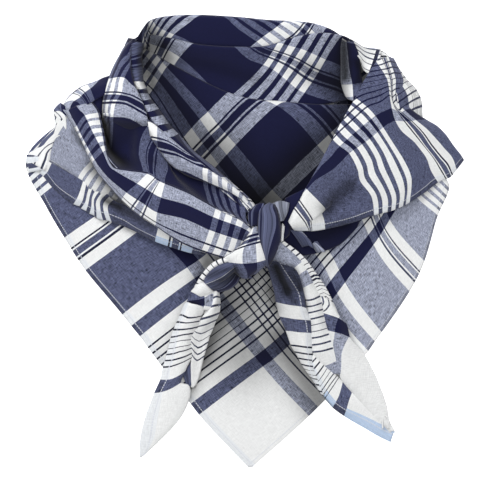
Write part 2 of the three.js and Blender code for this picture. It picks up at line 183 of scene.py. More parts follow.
def turn_under(grid, side, radius, tuck):
    if side in ("left", "right"):
        grid = np.swapaxes(grid, 0, 1)
    if side in ("left", "top"):
        grid = grid[::-1]
    edge = grid[-1]
    inward = grid[-min(3, len(grid))]
    out = (edge - inward)[:, :3]
    length = np.maximum(np.linalg.norm(out, axis=1, keepdims=True), 1e-6)
    running_on = (edge - inward)[:, 3:] / length
    level = out.copy()
    level[:, 2] = np.clip(level[:, 2], -TURN_DIP * length[:, 0], 0)
    level /= np.maximum(np.linalg.norm(level, axis=1, keepdims=True), 1e-6)
    down = np.array([0.0, 0.0, -1.0])
    rows = []
    for k in range(1, TURN_STEPS + 1):
        angle = math.pi * k / TURN_STEPS
        row = edge.copy()
        row[:, :3] += level * radius * TURN_REACH * math.sin(angle) + down * radius * (1 - math.cos(angle))
        row[:, 3:] += running_on * radius * angle
        rows.append(row)
    flat = level.copy()
    flat[:, 2] = 0
    steps = max(1, int(round(tuck / TUCK_MESH)))
    for k in range(1, steps + 1):
        gone = tuck * k / steps
        row = rows[TURN_STEPS - 1].copy()
        row[:, :3] += -flat * gone + down * gone * TUCK_FALL
        row[:, 3:] += running_on * gone
        rows.append(row)
    grid = np.concatenate([grid, np.array(rows)])
    if side in ("left", "top"):
        grid = grid[::-1]
    if side in ("left", "right"):
        grid = np.swapaxes(grid, 0, 1)
    return grid


# Adds a layer of cloth as a closed sheet: two skins, half a thickness above and below the net
def add_sheet(grid):
    n = normals(grid)
    if np.median(n[..., 2]) < 0:
        grid = grid[:, ::-1]
        n = normals(grid)
    rows, cols = grid.shape[:2]
    start = len(points)
    size = rows * cols
    for sign in (0.5, -0.5):
        skin = grid[..., :3] + n * THICK * sign
        points.extend(skin.reshape(-1, 3))
        places.extend(grid[..., 3:].reshape(-1, 2))
    index = start + np.arange(size).reshape(rows, cols)
    for r in range(rows - 1):
        for c in range(cols - 1):
            quad = [int(index[r, c]), int(index[r + 1, c]), int(index[r + 1, c + 1]), int(index[r, c + 1])]
            faces.append(quad)
            faces.append([i + size for i in reversed(quad)])
    rim = [*index[0], *index[1:, -1], *index[-1, -2::-1], *index[-2:0:-1, 0]]
    rim = [int(i) for i in rim]
    for i, j in zip(rim, rim[1:] + rim[:1]):
        faces.append([i, j, j + size, i + size])


# Creases a net, lays its hidden layers under it and adds all of them. The hidden layers are the
# cloth on the other side of the corner-to-corner fold, so their places are mirrored. Rough is the
# unevenness in millimetres, and under is the number of hidden layers.
def finish_fold(grid, turns, creases, rough, under):
    for route, height, width in creases:
        crease(grid, route, height, width)
    rumple(grid, rough)
    step = max(1, int(round(HIDDEN / SPACING)))
    picked = [np.unique(np.append(np.arange(1, n - 1, step), n - 2)) for n in grid.shape[:2]]
    if min(len(p) for p in picked) < 2:
        under = 0
    for k in range(1, under + 1):
        lower = grid[np.ix_(picked[0], picked[1])].copy()
        lower[..., :3] -= normals_up(lower) * LAYER * k
        lower[..., 2] = np.maximum(lower[..., 2], FLOOR + (under - k) * THICK)
        lower[..., 3:] = SIDE - lower[..., [4, 3]]
        add_sheet(lower)
    for side, radius, tuck in turns:
        grid = turn_under(grid, side, radius, tuck)
    grid[..., 2] = np.maximum(grid[..., 2], FLOOR + LAYER * min(under, 1))
    add_sheet(grid)


ends = smooth(np.array(REACH, float)[:, None], TRIANGLE_MESH)
left, middle, right = ends[..., 0:2], ends[..., 2:4], ends[..., 4:6]
s = np.linspace(0, 1, TRIANGLE_COLUMNS)[None, :, None]
ab = left * (1 - s) * (1 - 2 * s) + middle * 4 * s * (1 - s) + right * s * (2 * s - 1)
triangle = np.concatenate([thin_plate(PINS)(ab), ab], axis=-1)
triangle[..., 2] = np.maximum(triangle[..., 2], FLOOR + LAYER)
finish_fold(triangle, turns=[("bottom", 3.2, 26)], creases=[
    # route, height, width
    ([(190, 400), (215, 330), (235, 290)], -0.8, 9),
    ([(285, 300), (300, 350), (300, 400)], -0.9, 10),
    ([(120, 300), (150, 290), (185, 270)], 0.8, 10),
    ([(395, 220), (380, 280), (350, 330)], 0.7, 9),
    ([(280, 120), (300, 160), (300, 200)], -1.5, 9),
    ([(180, 100), (215, 150), (250, 190)], -2.0, 10),
    ([(240, 100), (262, 120), (270, 150)], 1.6, 8),
    ([(70, 225), (95, 245), (120, 285)], 0.8, 9),
], rough=0.5, under=1)


# The lower half of the folded square, flat on the floor under the swags and wraps. It hardly
# shows from above, but it closes the back.
# A fold is a table: a row for each section of the cloth, with its stations (x, y, z, a, b).
# Turns are (side, radius, tuck) and creases are (route, height, width).
def fold(rows, turns=(), creases=(), rough=0.35, under=3, spacing=SPACING):
    net = smooth(np.array(rows, float), spacing)
    net = np.swapaxes(smooth(np.swapaxes(net, 0, 1), spacing), 0, 1)
    finish_fold(net, turns, creases, rough, under)


fold([
    [(160, 30, 1.0, 420, 300), (240, 30, 1.0, 470, 350), (318, 36, 1.0, 420, 400)],
    [(134, 52, 1.0, 400, 260), (250, 60, 1.0, 450, 320), (366, 60, 1.0, 380, 410)],
    [(86, 100, 1.0, 430, 180), (245, 100, 1.0, 420, 300), (396, 90, 1.0, 330, 420)],
    [(60, 130, 1.0, 430, 130), (240, 130, 1.0, 400, 280), (412, 124, 1.0, 280, 430)],
    [(48, 165, 1.0, 420, 90), (240, 168, 1.0, 350, 250), (436, 168, 1.0, 240, 420)],
    [(70, 205, 1.0, 380, 60), (240, 205, 1.0, 300, 210), (420, 205, 1.0, 200, 390)],
], rough=0, under=0, spacing=HIDDEN)

# Swags of slack at the nape: two soft folds of the doubled cloth, one behind the other, reach
# from the left wrap to the right one. Stations run from the lower edge to the rounded ridge.
fold([
    [(150, 84, 8, 492, 160), (149, 60, 10, 505, 185), (150, 36, 15, 518, 208)],
    [(169, 78, 8, 470, 176), (171, 58, 11, 479, 195), (175, 41, 18, 486, 213)],
    [(196, 92, 7, 436, 181), (195, 66, 12, 456, 205), (200, 46.5, 21, 466, 226)],
    [(236, 105, 6, 406, 208), (236, 73, 13, 428, 237), (236, 49, 23, 446, 258)],
    [(262, 109, 6, 386, 220), (263, 70, 13, 412, 252), (266, 48, 23, 423, 288)],
    [(288, 109, 6, 366, 240), (287, 70, 13, 391, 268), (293, 39.5, 22, 403, 316)],
    [(312, 106, 6, 345, 248), (313, 66, 12, 371, 290), (318, 35, 20, 384, 330)],
    [(340, 101, 7, 322, 262), (337, 67, 11, 344, 300), (341, 37, 17, 361, 342)],
    [(354, 98, 7, 305, 275), (354, 70, 10, 328, 308), (354, 43, 16, 348, 350)],
], turns=[("right", 3.5, 24)], creases=[
    ([(185, 60), (215, 66), (250, 75)], -1.8, 7),
    ([(290, 60), (315, 75), (335, 88)], -1.2, 6),
])
fold([
    [(133, 56, 7, 650, 232), (134, 47, 9, 655, 240), (137, 38, 10, 660, 248)],
    [(139, 55, 7, 632, 240), (140, 42, 10, 640, 252), (143.5, 28.5, 12, 648, 262)],
    [(147, 54, 7, 604, 262), (147, 38, 11, 612, 280), (150.5, 22.5, 14, 624, 298)],
    [(167, 60, 6, 565, 262), (169, 37, 13, 577, 297), (169, 19, 16, 594, 325)],
    [(197, 66, 6, 536, 280), (196, 39, 14, 558, 312), (197, 18, 18, 573, 333)],
    [(235, 70, 6, 505, 305), (236, 38, 15, 537, 349), (236, 20, 18, 548, 368)],
    [(268, 68, 6, 480, 345), (265, 38, 15, 515, 371), (268, 23, 18, 525, 388)],
    [(295, 62, 6, 470, 375), (293, 36, 14, 501, 393), (298, 24, 17, 507, 410)],
    [(318, 58, 7, 455, 395), (315, 34, 13, 479, 414), (316, 27, 15, 483, 421)],
    [(335, 60, 8, 440, 400), (330, 38, 12, 462, 425), (330, 32, 14, 466, 430)],
    [(344, 62, 9, 430, 405), (340, 46, 11, 452, 428), (340, 38, 13, 457, 434)],
], turns=[("right", 6.0, 20), ("top", 2.0, 6)], creases=[
    ([(190, 34), (225, 38), (255, 42)], -1.2, 6),
    ([(147, 30), (152, 36), (160, 37)], -1.5, 2.5),
])

# Left wrap: the gathered half of the cloth that comes over the left shoulder, as one rope of
# soft folds. From the neck outwards it has a lining, a shoulder, a hollow and a rolled front edge.
fold([
    [(131, 42, 24, 316, 256), (137, 42, 25, 316, 259), (143, 43, 20, 316, 262)],
    [(129.5, 57, 26, 330, 272), (136, 57, 28, 330, 274), (141, 56, 20, 330, 276)],
    [(130, 68, 28, 345, 289), (136, 68, 30, 345, 290), (142, 67, 21, 345, 291)],
    [(133.5, 81, 30, 360.5, 299), (138, 81, 31, 360.5, 300), (142.5, 81, 22, 360.5, 302)],
    [(136.5, 89, 32, 368, 303), (141, 89, 33, 368, 304), (146, 89, 23, 368, 305)],
    [(139, 97, 34, 376, 304), (144, 97, 35, 376, 310), (149, 97, 24, 377, 316)],
    [(146, 110, 38, 389, 316), (152, 110, 38, 390, 323), (158, 109, 26, 391, 330)],
    [(155, 124, 40, 402, 326), (162, 124, 40, 403, 334), (168, 124, 28, 404, 342)],
    [(166, 137, 42, 414, 336), (173, 137, 41, 415, 348), (179, 136, 30, 417, 361)],
    [(184, 153, 43, 440, 345), (189, 152.5, 42, 440, 356), (194, 152, 34, 440, 368)],
    [(204, 169, 44, 460, 352), (209, 168.5, 44, 460, 360), (214, 168, 37, 460, 368)],
    [(222, 183, 46, 480, 358), (227, 183.5, 45, 480, 365), (232, 184, 40, 480, 372)],
    [(240, 197, 48, 500, 362), (245, 198.5, 46, 500, 369), (250, 200, 42, 500, 376)],
    [(250, 208, 50, 515, 366), (254, 210, 48, 515, 373), (258, 212, 44, 515, 380)],
], turns=[("right", 2.5, 14)])
fold([
    [(131.5, 40, 17, 356, 391), (132.5, 39.3, 18, 356.5, 392.5), (133.5, 38.8, 18.5, 357, 394),
     (134.5, 38.6, 18, 357.5, 395.5), (136, 38.8, 17, 358, 397)],
    [(125, 46.5, 20, 350, 388.5), (127, 45.5, 23, 349, 391.5), (129, 45, 25, 348, 393.5),
     (130.5, 45, 25.5, 347, 395), (132, 45.5, 24, 346, 397)],
    [(120, 55, 22, 345, 387), (121.5, 54.5, 27, 342, 391.5), (125, 54.5, 30, 339, 394.5),
     (128, 55, 31, 336, 397), (130, 56, 30, 334, 402)],
    [(113, 70, 25, 320, 388), (117.5, 69, 32, 318, 396.5), (122, 68.5, 36, 316, 404),
     (127, 69, 38, 313, 411), (130.5, 70, 37, 311, 418)],
    [(109.5, 81, 27, 301.5, 389), (114, 81, 34, 301.5, 399), (120.5, 81, 38, 301, 410),
     (127, 82, 41, 303, 419), (133, 83, 40, 309, 428)],
    [(106, 92, 27, 290, 390), (112, 92, 35, 290, 400), (120, 92.5, 40, 290, 412),
     (130, 94, 43, 291, 424), (137.5, 94, 42, 295, 432)],
    [(104, 104, 27, 273, 391), (109, 104, 35, 273, 403), (117, 104, 41, 273, 416),
     (128, 106, 45, 273, 430), (143, 106, 44, 284, 442)],
    [(103.5, 118.5, 25, 258, 392), (108, 118.5, 33, 258, 404), (115, 118.5, 38, 258, 417),
     (131, 120.5, 44, 258, 437), (147, 120.5, 44, 268, 455)],
    [(103, 128, 14, 248, 392), (108, 128, 18, 248, 405), (115, 130, 22, 248, 417),
     (130, 131, 26, 248, 440), (147, 130, 30, 258, 462)],
], turns=[("left", 3.5, 16), ("right", 2.2, 10)])
fold([
    [(148, 121, 44, 306, 508), (149.5, 129, 46, 298, 509), (151, 137, 40, 290, 508)],
    [(158, 129, 46, 300, 518), (158, 138, 48, 290, 518), (158, 148, 42, 277, 517)],
    [(172, 141, 48, 294, 533), (171, 150, 50, 279, 533), (170, 164, 42, 262, 531)],
    [(186, 153, 50, 289, 550), (186, 163, 51, 268, 550), (187, 176, 43, 256, 549)],
    [(201, 164.5, 52, 276, 571), (203, 173, 52, 267, 575), (204, 182, 45, 257, 575)],
    [(213, 174, 53, 270, 587), (215, 180, 52, 265, 589), (217, 187, 47, 258, 591)],
    [(225, 182, 53, 268, 602), (226, 187, 52, 263, 603), (228, 192, 48, 258, 604)],
    [(240, 194, 51, 264, 618), (240.5, 197, 50, 261, 619), (241, 200, 48, 258, 620)],
    [(250, 206, 49, 262, 632), (250.5, 208.5, 48, 260, 633), (251, 211, 47, 258, 633)],
], turns=[("left", 2.2, 14)])


# Where the cloth lies square to a fold, each row keeps one b, and the heading gives a across
def lattice(heading, table):
    return [[(x, y, z, a, b) for a, (x, y, z) in zip(heading, row)] for b, row in table]


fold(lattice([262, 250, 238, 226, 214, 201], [
    (388, [(104, 114, 36), (104, 120, 22), (103.5, 124, 14), (103, 127, 12), (102.5, 129, 20),
          (101.5, 131, 35)]),
    (415, [(114, 114.5, 40), (113.5, 126, 30), (112.5, 137, 22), (111.5, 146, 18), (109, 150, 22),
          (105, 151, 40)]),
    (445, [(134, 117, 42), (133, 127, 32), (130, 139, 22), (128, 151, 17), (125, 163, 24),
          (121, 171, 44)]),
    (472, [(150, 124, 38), (142.5, 135, 33), (139.5, 147, 29), (140, 157, 32), (143, 168, 41),
          (144, 176, 49)]),
    (495, [(162, 134, 38), (156, 143, 35), (152, 151, 34), (150.5, 161, 37), (151, 170, 44),
          (153.5, 180, 52)]),
    (518, [(168, 145, 36), (164, 156, 34), (167, 162, 36), (168.5, 170, 41), (166, 178, 47),
          (165, 185, 54)]),
    (546, [(182, 160, 36), (175, 170, 34), (178, 178, 38), (182, 184, 44), (186, 190, 50),
          (190, 196, 56)]),
    (575, [(204, 176, 38), (204, 186, 35), (206, 194, 38), (208, 201, 44), (211, 206, 50),
          (215, 209, 56)]),
    (602, [(222, 186, 41), (222, 194, 39), (224, 201, 41), (226, 207, 45), (229, 212, 50),
          (233, 216, 55)]),
    (629, [(246, 202, 45), (246, 207, 44), (246, 211, 44), (246, 216, 46), (247, 221, 48),
          (250, 226, 50)]),
]), creases=[
    ([(130, 150), (150, 165), (160, 178)], 1.4, 4),
    ([(165, 158), (185, 172), (215, 200)], 1.2, 4),
])
fold(lattice([201, 186, 173, 158, 152], [
    (335, [(91, 103, 26), (76, 106.5, 28), (68.5, 110, 24), (65, 110, 20), (62.5, 109.5, 16)]),
    (352, [(94.5, 107, 28), (80.5, 112, 31), (73.5, 120, 26), (71.5, 120.5, 22), (70.5, 121, 18)]),
    (361, [(98, 113, 30), (84.5, 116, 32), (77, 126, 27), (75, 126.5, 23), (74, 127, 19)]),
    (388, [(102, 130.5, 36), (92.5, 132, 36), (85, 142, 31), (84, 142.8, 27), (83, 143.5, 23)]),
    (415, [(106, 151, 41), (103.5, 152.5, 42), (95, 160, 36), (93.5, 162, 32), (92.5, 163.5, 28)]),
    (430, [(111.5, 165, 44), (110, 166.5, 45), (102, 170, 39), (100, 172, 35), (99, 173.5, 31)]),
    (445, [(119, 170, 46), (117.5, 172.5, 47), (111, 180, 42), (109, 182, 37), (108, 184, 33)]),
    (472, [(147.5, 174.5, 50), (137, 184.5, 50), (127, 193, 45), (123.5, 197.5, 40), (122, 199.5, 35)]),
    (495, [(158, 181, 53), (149.5, 192, 54), (143, 203.5, 49), (138.5, 210.5, 44), (137, 212.8, 39)]),
    (518, [(165.5, 184.5, 54), (162, 199, 57), (158, 213, 52), (157, 223, 46), (156, 225.5, 41)]),
    (546, [(190, 195, 56), (187, 206, 60), (184.5, 219.5, 56), (181, 235, 49), (179, 240.5, 44)]),
    (575, [(216, 209.5, 56), (213.5, 218, 60), (210, 230.5, 57), (205, 244, 50), (202, 250.5, 45)]),
    (602, [(240.5, 221, 55), (238.5, 227, 58), (235, 239, 55), (230.5, 252.5, 49), (227, 258, 45)]),
    (612, [(251, 229.5, 50), (248, 231.5, 52), (243, 241.5, 50), (238, 254, 46), (235, 258, 43)]),
    (625, [(258, 236, 47), (256, 238, 48), (252, 246, 47), (248, 254, 44), (244, 257, 42)]),
]), turns=[("left", 3.0, 8), ("right", 1.6, 26)],
     creases=[([(110, 165), (150, 196), (200, 224)], -0.7, 4)])


# Nape corner of the left wrap, its edge at the far left with a bundle of hems, and its two flaps.
# They are the loose margins of the same cloth, with the turned and stitched hem on the lowest one.
# In a ribbon each row keeps one a, and the heading gives b across.
def ribbon(heading, table):
    return [[(x, y, z, a, b) for b, (x, y, z) in zip(heading, row)] for a, row in table]


fold(ribbon([440, 445, 450], [
    (440, [(107, 86, 18), (100, 88, 20), (90, 94, 20)]),
    (430, [(105, 100, 20), (99, 101, 23), (92, 103, 22)]),
    (425, [(104, 114, 21), (100, 115, 24), (96, 116, 23)]),
    (420, [(104, 130, 20), (101, 131, 22), (99, 132, 21)]),
]))
fold([
    [(111, 76.5, 20, 240, 225), (109, 85, 25, 245, 225), (107, 93, 26, 250, 225)],
    [(103, 79, 19, 210, 235), (103, 88, 25, 225, 235), (103, 96.5, 27, 240, 235)],
    [(96, 82, 17.5, 198, 246), (97, 90.5, 24, 214, 248), (98, 98.5, 27, 230, 250)],
    [(89, 84.5, 16.5, 190, 257), (91.5, 92.5, 24, 208, 260), (94, 101, 28, 226, 262)],
    [(82, 87, 15.5, 188, 268), (85.5, 95.5, 24, 205, 277), (89, 104, 28, 222, 281)],
    [(76, 91, 14.5, 186.8, 282), (80, 98.5, 23, 202, 294), (84, 107, 27, 218, 300)],
    [(70, 96, 14, 187, 296), (74, 102.5, 22, 203, 308), (78, 109, 26, 218, 320)],
    [(66, 101, 13.5, 188, 303), (68.5, 105.5, 20, 196, 312), (72, 110, 24, 205, 326)],
    [(63, 107, 13, 188, 308), (65.5, 109, 17, 192, 316), (68, 112, 20, 196, 330)],
], turns=[("left", 3.0, 12)], creases=[
    ([(104, 84), (92, 90), (78, 98)], 1.2, 3),
    ([(100, 95), (90, 99), (82, 104)], -1.0, 2.5),
])
fold([
    [(61, 103, 12, 206, 90), (65, 106, 16, 206, 85), (69, 112, 19, 206, 80)],
    [(54.5, 109, 10, 203, 100), (60, 110, 15, 202, 92), (66, 115, 18, 202, 85)],
    [(54.5, 117, 9, 196, 111), (60, 118, 14, 196, 104), (66, 121, 17, 196, 98)],
    [(56, 127, 9, 186.5, 98), (60, 128, 13, 190, 94), (66, 130, 16, 192, 90)],
    [(51, 132.5, 9, 180, 92), (56, 132, 13, 188, 94), (62, 134, 15, 192, 96)],
    [(42, 141, 8.5, 180, 92), (48.5, 139.5, 12, 188, 95), (55, 139, 15, 192, 98)],
    [(37, 148.5, 8, 188, 92), (43, 149, 12, 189, 102.5), (51, 150, 14, 192, 112)],
    [(29, 153.5, 7.5, 188, 92), (38, 157, 11, 189, 103.5), (49, 161, 13, 192, 113)],
    [(27, 160, 7, 188, 92), (35, 165, 10, 189, 104), (45, 171, 11, 192, 113)],
], turns=[("left", 2.5, 12)], creases=[
    ([(44, 142), (40, 150), (36, 158)], -1.0, 2.5),
    ([(57, 116), (62, 119), (66, 124)], -0.8, 2.5),
])
fold([
    [(27, 154.5, 8.2, 394, 992), (33, 155, 10, 394.5, 987), (38, 156.5, 11.5, 397, 982)],
    [(27, 160, 8, 401, 992), (33, 160.5, 10, 402, 987), (41, 160.5, 11.5, 403, 982)],
    [(28.5, 166, 8, 406.5, 992), (35, 165.5, 9.6, 407, 987), (44, 164.5, 11.5, 408, 982)],
    [(30, 172, 7.6, 413, 992), (38, 170.5, 9.4, 413, 987), (47, 168.5, 11.2, 413, 982)],
], turns=[("left", 1.6, 5)], creases=[
    ([(30, 158), (38, 160)], 0.8, 2),
    ([(33, 164), (42, 164)], -0.8, 2),
])


# Each row keeps one b, and its stations are (x, y, z, a)
def weft_rows(table):
    return [[(x, y, z, a, b) for x, y, z, a in row] for b, row in table]


fold(weft_rows([
    (290, [(64, 108, 12, 70), (58, 120, 13, 50), (52, 138, 12, 28), (46, 152, 13, 10),
          (42, 163, 10, 0)]),
    (304, [(70, 112, 14, 72), (62, 127, 15, 52), (54, 140, 14, 32), (50, 153, 14, 12),
          (48, 163, 11, 0)]),
    (330, [(80, 128, 18, 78), (74, 142, 19, 54), (68, 155, 17, 30), (64, 164, 17, 12),
          (62, 169.5, 13, 0)]),
    (361, [(95, 152, 23, 80), (90, 162, 24, 56), (84, 168, 22, 34), (79, 175, 21, 14),
          (77, 179.5, 17, 0)]),
    (388, [(106, 170, 27, 80), (102, 176, 28, 56), (98, 182, 26, 34), (95, 187, 25, 14),
          (93, 190, 21, 0)]),
    (415, [(124, 190, 29, 80), (121, 194, 28, 56), (119, 196.5, 27, 34), (117.5, 198.5, 25, 20),
          (116, 200, 23, 10)]),
    (445, [(142, 208, 34, 70), (139, 209, 33, 50), (137, 210, 32, 36), (135.5, 210.8, 30, 20),
          (134, 211.8, 27, 10)]),
    (472, [(160, 222, 36, 50), (157, 222, 36, 40), (155, 222.3, 35, 30), (153.5, 222.6, 33, 20),
          (152, 223, 31, 10)]),
]), turns=[("right", 1.6, 8)])


# Each row keeps one a, and its stations are (x, y, z, b)
def warp_rows(table):
    return [[(x, y, z, a, b) for x, y, z, b in row] for a, row in table]


fold(warp_rows([
    (300, [(48, 161, 14, 945), (45, 164, 12, 962), (42, 168, 10, 980), (39, 172, 7, 990)]),
    (304, [(51, 163, 14, 945), (49, 167, 12, 962), (47, 171, 10, 982), (43, 175, 7, 990)]),
    (330, [(66, 171, 17, 948), (63, 178, 14, 964), (59, 184, 11, 981), (55, 189, 7, 990)]),
    (361, [(83, 181, 21, 950), (80, 190, 17, 966), (77, 197, 14, 982), (73, 203, 9, 990)]),
    (368, [(86, 183, 22, 950), (84, 192, 18, 966), (82, 200, 15, 982), (79, 205, 9, 990)]),
    (373, [(90, 185, 21, 952), (87, 194, 16, 968), (85, 202, 12.5, 983), (81, 207.5, 8.5, 990)]),
    (380, [(93, 187, 23, 952), (90, 195, 19, 968), (88, 204, 15, 983), (86, 210, 9.5, 990)]),
    (385, [(96, 189, 22, 953), (92, 197, 17, 969), (91, 206, 13.5, 984), (89, 212.5, 9, 990)]),
    (391, [(100, 190, 24, 953), (94, 199, 20, 969), (94, 208, 16, 984), (94, 214.5, 10, 990)]),
    (396.4, [(103, 191, 23, 954), (96, 201, 18, 970), (96, 210, 14.5, 984), (96, 217, 9.5, 990)]),
    (403, [(107, 193, 25, 954), (100, 200, 21, 970), (100, 210, 17, 984), (102, 219, 11, 990)]),
    (408, [(109, 196, 24, 955), (103, 203, 20, 970), (103, 211, 16, 984), (105, 219, 11, 990)]),
    (415, [(113, 200, 25, 955), (108, 205, 21, 970), (108, 212, 18, 984), (111, 221, 12, 990)]),
    (430, [(127, 206, 28, 958), (125, 212, 24, 970), (124, 219, 19, 984), (123, 225, 14, 990)]),
    (445, [(141, 213, 32, 960), (139, 219, 27, 971), (137, 227, 21, 984), (136, 231, 16, 990)]),
    (472, [(159, 222, 36, 964), (158, 229, 31, 974), (156, 236, 24, 984), (155, 240.5, 19, 990)]),
    (495, [(178, 231, 38, 966), (177, 237, 33, 975), (176, 243, 27, 984), (175, 247.5, 22, 990)]),
    (518, [(196, 240, 40, 970), (194.5, 244, 36, 977), (193, 249, 31, 985), (192, 252.5, 26, 990)]),
    (530, [(206, 246, 40, 974), (205, 249, 38, 980), (204, 252, 34, 986), (204, 254, 30, 990)]),
]), turns=[("right", 1.8, 12)], creases=[([(112, 210), (135, 220), (152, 228)], -1.2, 4)])

# Right wrap: the other gathered half, over the right shoulder. It has a narrow lining at the neck,
# a corner at the nape, a fold of small check, the wide flap with its open hem, and small pleats.
fold([
    [(341, 37, 15, 196, 260), (347, 41, 21, 202, 262), (354, 42, 22, 215, 262)],
    [(342, 55, 17, 193, 240), (349, 54, 25, 203, 240), (359, 56, 25, 222, 240)],
    [(342, 73, 18, 191, 215), (350, 71, 27, 202, 215), (361, 74, 26, 225, 214)],
    [(342.5, 84, 19, 189, 202), (352, 84, 29, 201, 202), (362, 84, 30, 220, 200)],
    [(346, 96, 22, 188, 188), (352.5, 97, 31, 200, 187), (358, 95, 33, 214, 187)],
    [(349.5, 100, 24, 189, 184), (353, 101, 31, 200, 183), (357, 100, 32, 210, 183)],
], turns=[("left", 2.5, 14)])
fold([
    [(344, 38, 13, 130, 190), (352, 44, 14, 140, 180), (362, 50, 14, 150, 172)],
    [(362, 47, 13, 130, 180), (366, 50, 13, 140, 176), (372, 54, 14, 150, 172)],
    [(381, 50, 12, 140, 172), (385, 54, 16, 149, 170), (388, 60, 18, 156, 168)],
    [(391, 58, 9, 128, 160), (390, 62, 17, 145, 158), (388, 67, 25, 162, 156)],
    [(399, 68, 9, 125, 150), (395, 69, 19, 148, 151), (391, 72, 29, 174, 152)],
    [(407, 79, 9, 118, 134), (402, 79, 19, 158, 136), (394, 82, 31, 184, 140)],
    [(416, 89, 9, 114, 118), (409, 90, 20, 164, 121), (396, 94, 33, 187, 126)],
    [(421, 101, 9, 110, 106), (411.5, 103, 20, 166, 108), (398, 108, 34, 188, 112)],
    [(422, 118, 9, 108, 94), (412, 118, 19, 166, 96), (400, 120, 31, 188, 100)],
], turns=[("left", 3.0, 14)])
fold([
    [(346, 38, 14, 262, 104), (352, 46, 20, 262, 114), (355, 54, 24, 262, 124)],
    [(354, 41, 14, 264, 104), (358, 50, 22, 264, 116), (360, 60, 27, 264, 129)],
    [(364, 47.5, 14, 268, 103), (365, 56, 23, 268, 116), (363, 70, 29, 268, 133)],
    [(374, 50, 14, 271, 103), (373, 59, 24, 272, 116), (369, 74, 32, 273, 134)],
    [(381, 50, 15, 276, 103), (380, 59, 26, 278, 116), (377, 72, 33, 280, 134)],
], turns=[("left", 2.5, 10)])
fold(warp_rows([
    (518, [(294, 230.5, 42, 0), (293, 229.5, 45, 3), (292, 228.5, 47, 6), (291.5, 228, 49, 9),
          (291, 227, 50, 12), (290.3, 226, 51, 15), (289.7, 225, 51, 18), (289, 224, 51, 21),
          (288.5, 223, 50, 24), (288, 222, 49, 27)]),
    (504, [(308, 230, 40, 0), (306.5, 227.5, 43, 5), (305, 225, 46, 10), (303.5, 222.5, 48, 16),
          (301.5, 220, 50, 22), (299.5, 217.5, 51, 28), (297.5, 215, 52, 34), (296, 213, 51, 40),
          (294.8, 211.5, 51, 44), (293.5, 210, 49, 48)]),
    (486, [(312, 230, 38, 0), (311.5, 224, 41, 7), (311, 219.5, 42, 14), (312.7, 219, 45, 19),
          (308, 211.5, 49, 30), (304, 206, 51, 40), (302, 203, 51, 48), (301, 201.5, 51, 54),
          (300.5, 200.5, 50, 60), (300, 199.5, 48, 66)]),
    (472, [(325, 228, 33, 0), (324, 220, 36, 9), (322, 213, 38, 15), (325.5, 209.5, 42, 22),
          (317, 200, 46, 40), (311, 194, 48, 58), (309, 192, 49, 66), (307.5, 190.5, 49, 72),
          (306.5, 189.5, 49, 77), (305.5, 188.5, 48, 82)]),
    (445, [(350, 222, 27, 0), (348, 212, 31, 12), (344, 202, 32, 25), (338, 192, 34, 41),
          (332, 180, 38, 58), (331, 171, 41, 76), (324, 164, 43, 89), (323, 163, 43, 92),
          (321, 164, 42, 95), (318.5, 165.5, 41, 98)]),
    (415, [(374, 214, 23, 0), (373, 203, 27, 12), (370, 194, 31, 26), (360, 181, 34, 42),
          (357, 169, 38, 57), (349, 154, 41, 76), (340, 147, 42, 89), (337, 144.5, 42, 94),
          (334.5, 142, 42, 98), (332, 139.5, 41, 103)]),
    (388, [(393.5, 209, 20, 0), (394, 197, 25, 14), (389, 184, 29, 30), (382, 170, 32, 47),
          (377, 156, 35, 62), (367.5, 141, 38, 76), (358, 131, 40, 89), (353, 126, 40, 97),
          (348.5, 121.5, 40, 104), (344, 117, 39, 111)]),
    (361, [(410, 201, 17, 0), (411.5, 187, 22, 16), (411, 176, 26, 28), (405, 162, 29, 43),
          (394, 145, 32, 60), (383, 128, 36, 76), (375.5, 117, 38, 89), (369, 109.5, 38, 99),
          (362, 103.5, 38, 109), (355, 98, 37, 118)]),
    (330, [(425, 191, 14, 0), (423, 178, 19, 15), (418, 164, 24, 31), (410, 150, 27, 47),
          (400, 137, 31, 62), (391, 123, 36, 76), (385, 112, 38, 89), (381, 106, 38, 98),
          (372, 94, 38, 115), (363, 82, 37, 133)]),
    (304, [(438, 181, 11, 0), (431, 170, 16, 16), (426, 157, 20, 31), (415, 143, 25, 47),
          (402, 132, 30, 62), (395, 121.5, 34, 76), (391.5, 110, 37, 89), (389, 96, 38, 102),
          (387, 80, 37, 129), (376, 62, 33, 158)]),
    (281, [(450, 176, 9, 0), (445, 167, 13, 16), (438, 158.5, 16, 31), (429, 147, 20, 47),
          (420, 134, 25, 61), (409, 122, 30, 76), (400, 114, 34, 89), (391.5, 104, 35, 102),
          (390.5, 82, 34, 129), (384, 58, 29, 158)]),
    (258, [(457, 168, 8, 0), (453, 157, 11, 16), (445, 148, 14, 31), (437, 139, 18, 47),
          (427, 129, 22, 61), (416, 120.5, 26, 76), (405, 111, 29, 89), (395, 100, 33, 103),
          (395.5, 80, 31, 129), (388, 57, 25, 158)]),
    (235, [(463, 160, 7, 0), (459, 154, 9, 14), (452, 145, 10, 30), (445, 135, 12, 46),
          (436, 126, 14, 61), (426, 120, 17, 76), (410, 110, 25, 89), (401, 98, 27, 103),
          (402, 80, 24, 129), (393, 58, 18, 158)]),
]), turns=[("left", 2.0, 14), ("bottom", 3.0, 16)], creases=[
    ([(318, 215), (335, 208), (352, 203), (370, 200)], -1.6, 3),
    ([(326, 204), (344, 193), (362, 184)], -2.6, 6),
    ([(352, 196), (372, 180), (395, 160)], 1.4, 6),
    ([(395, 175), (415, 155), (430, 140)], -1.2, 7),
])
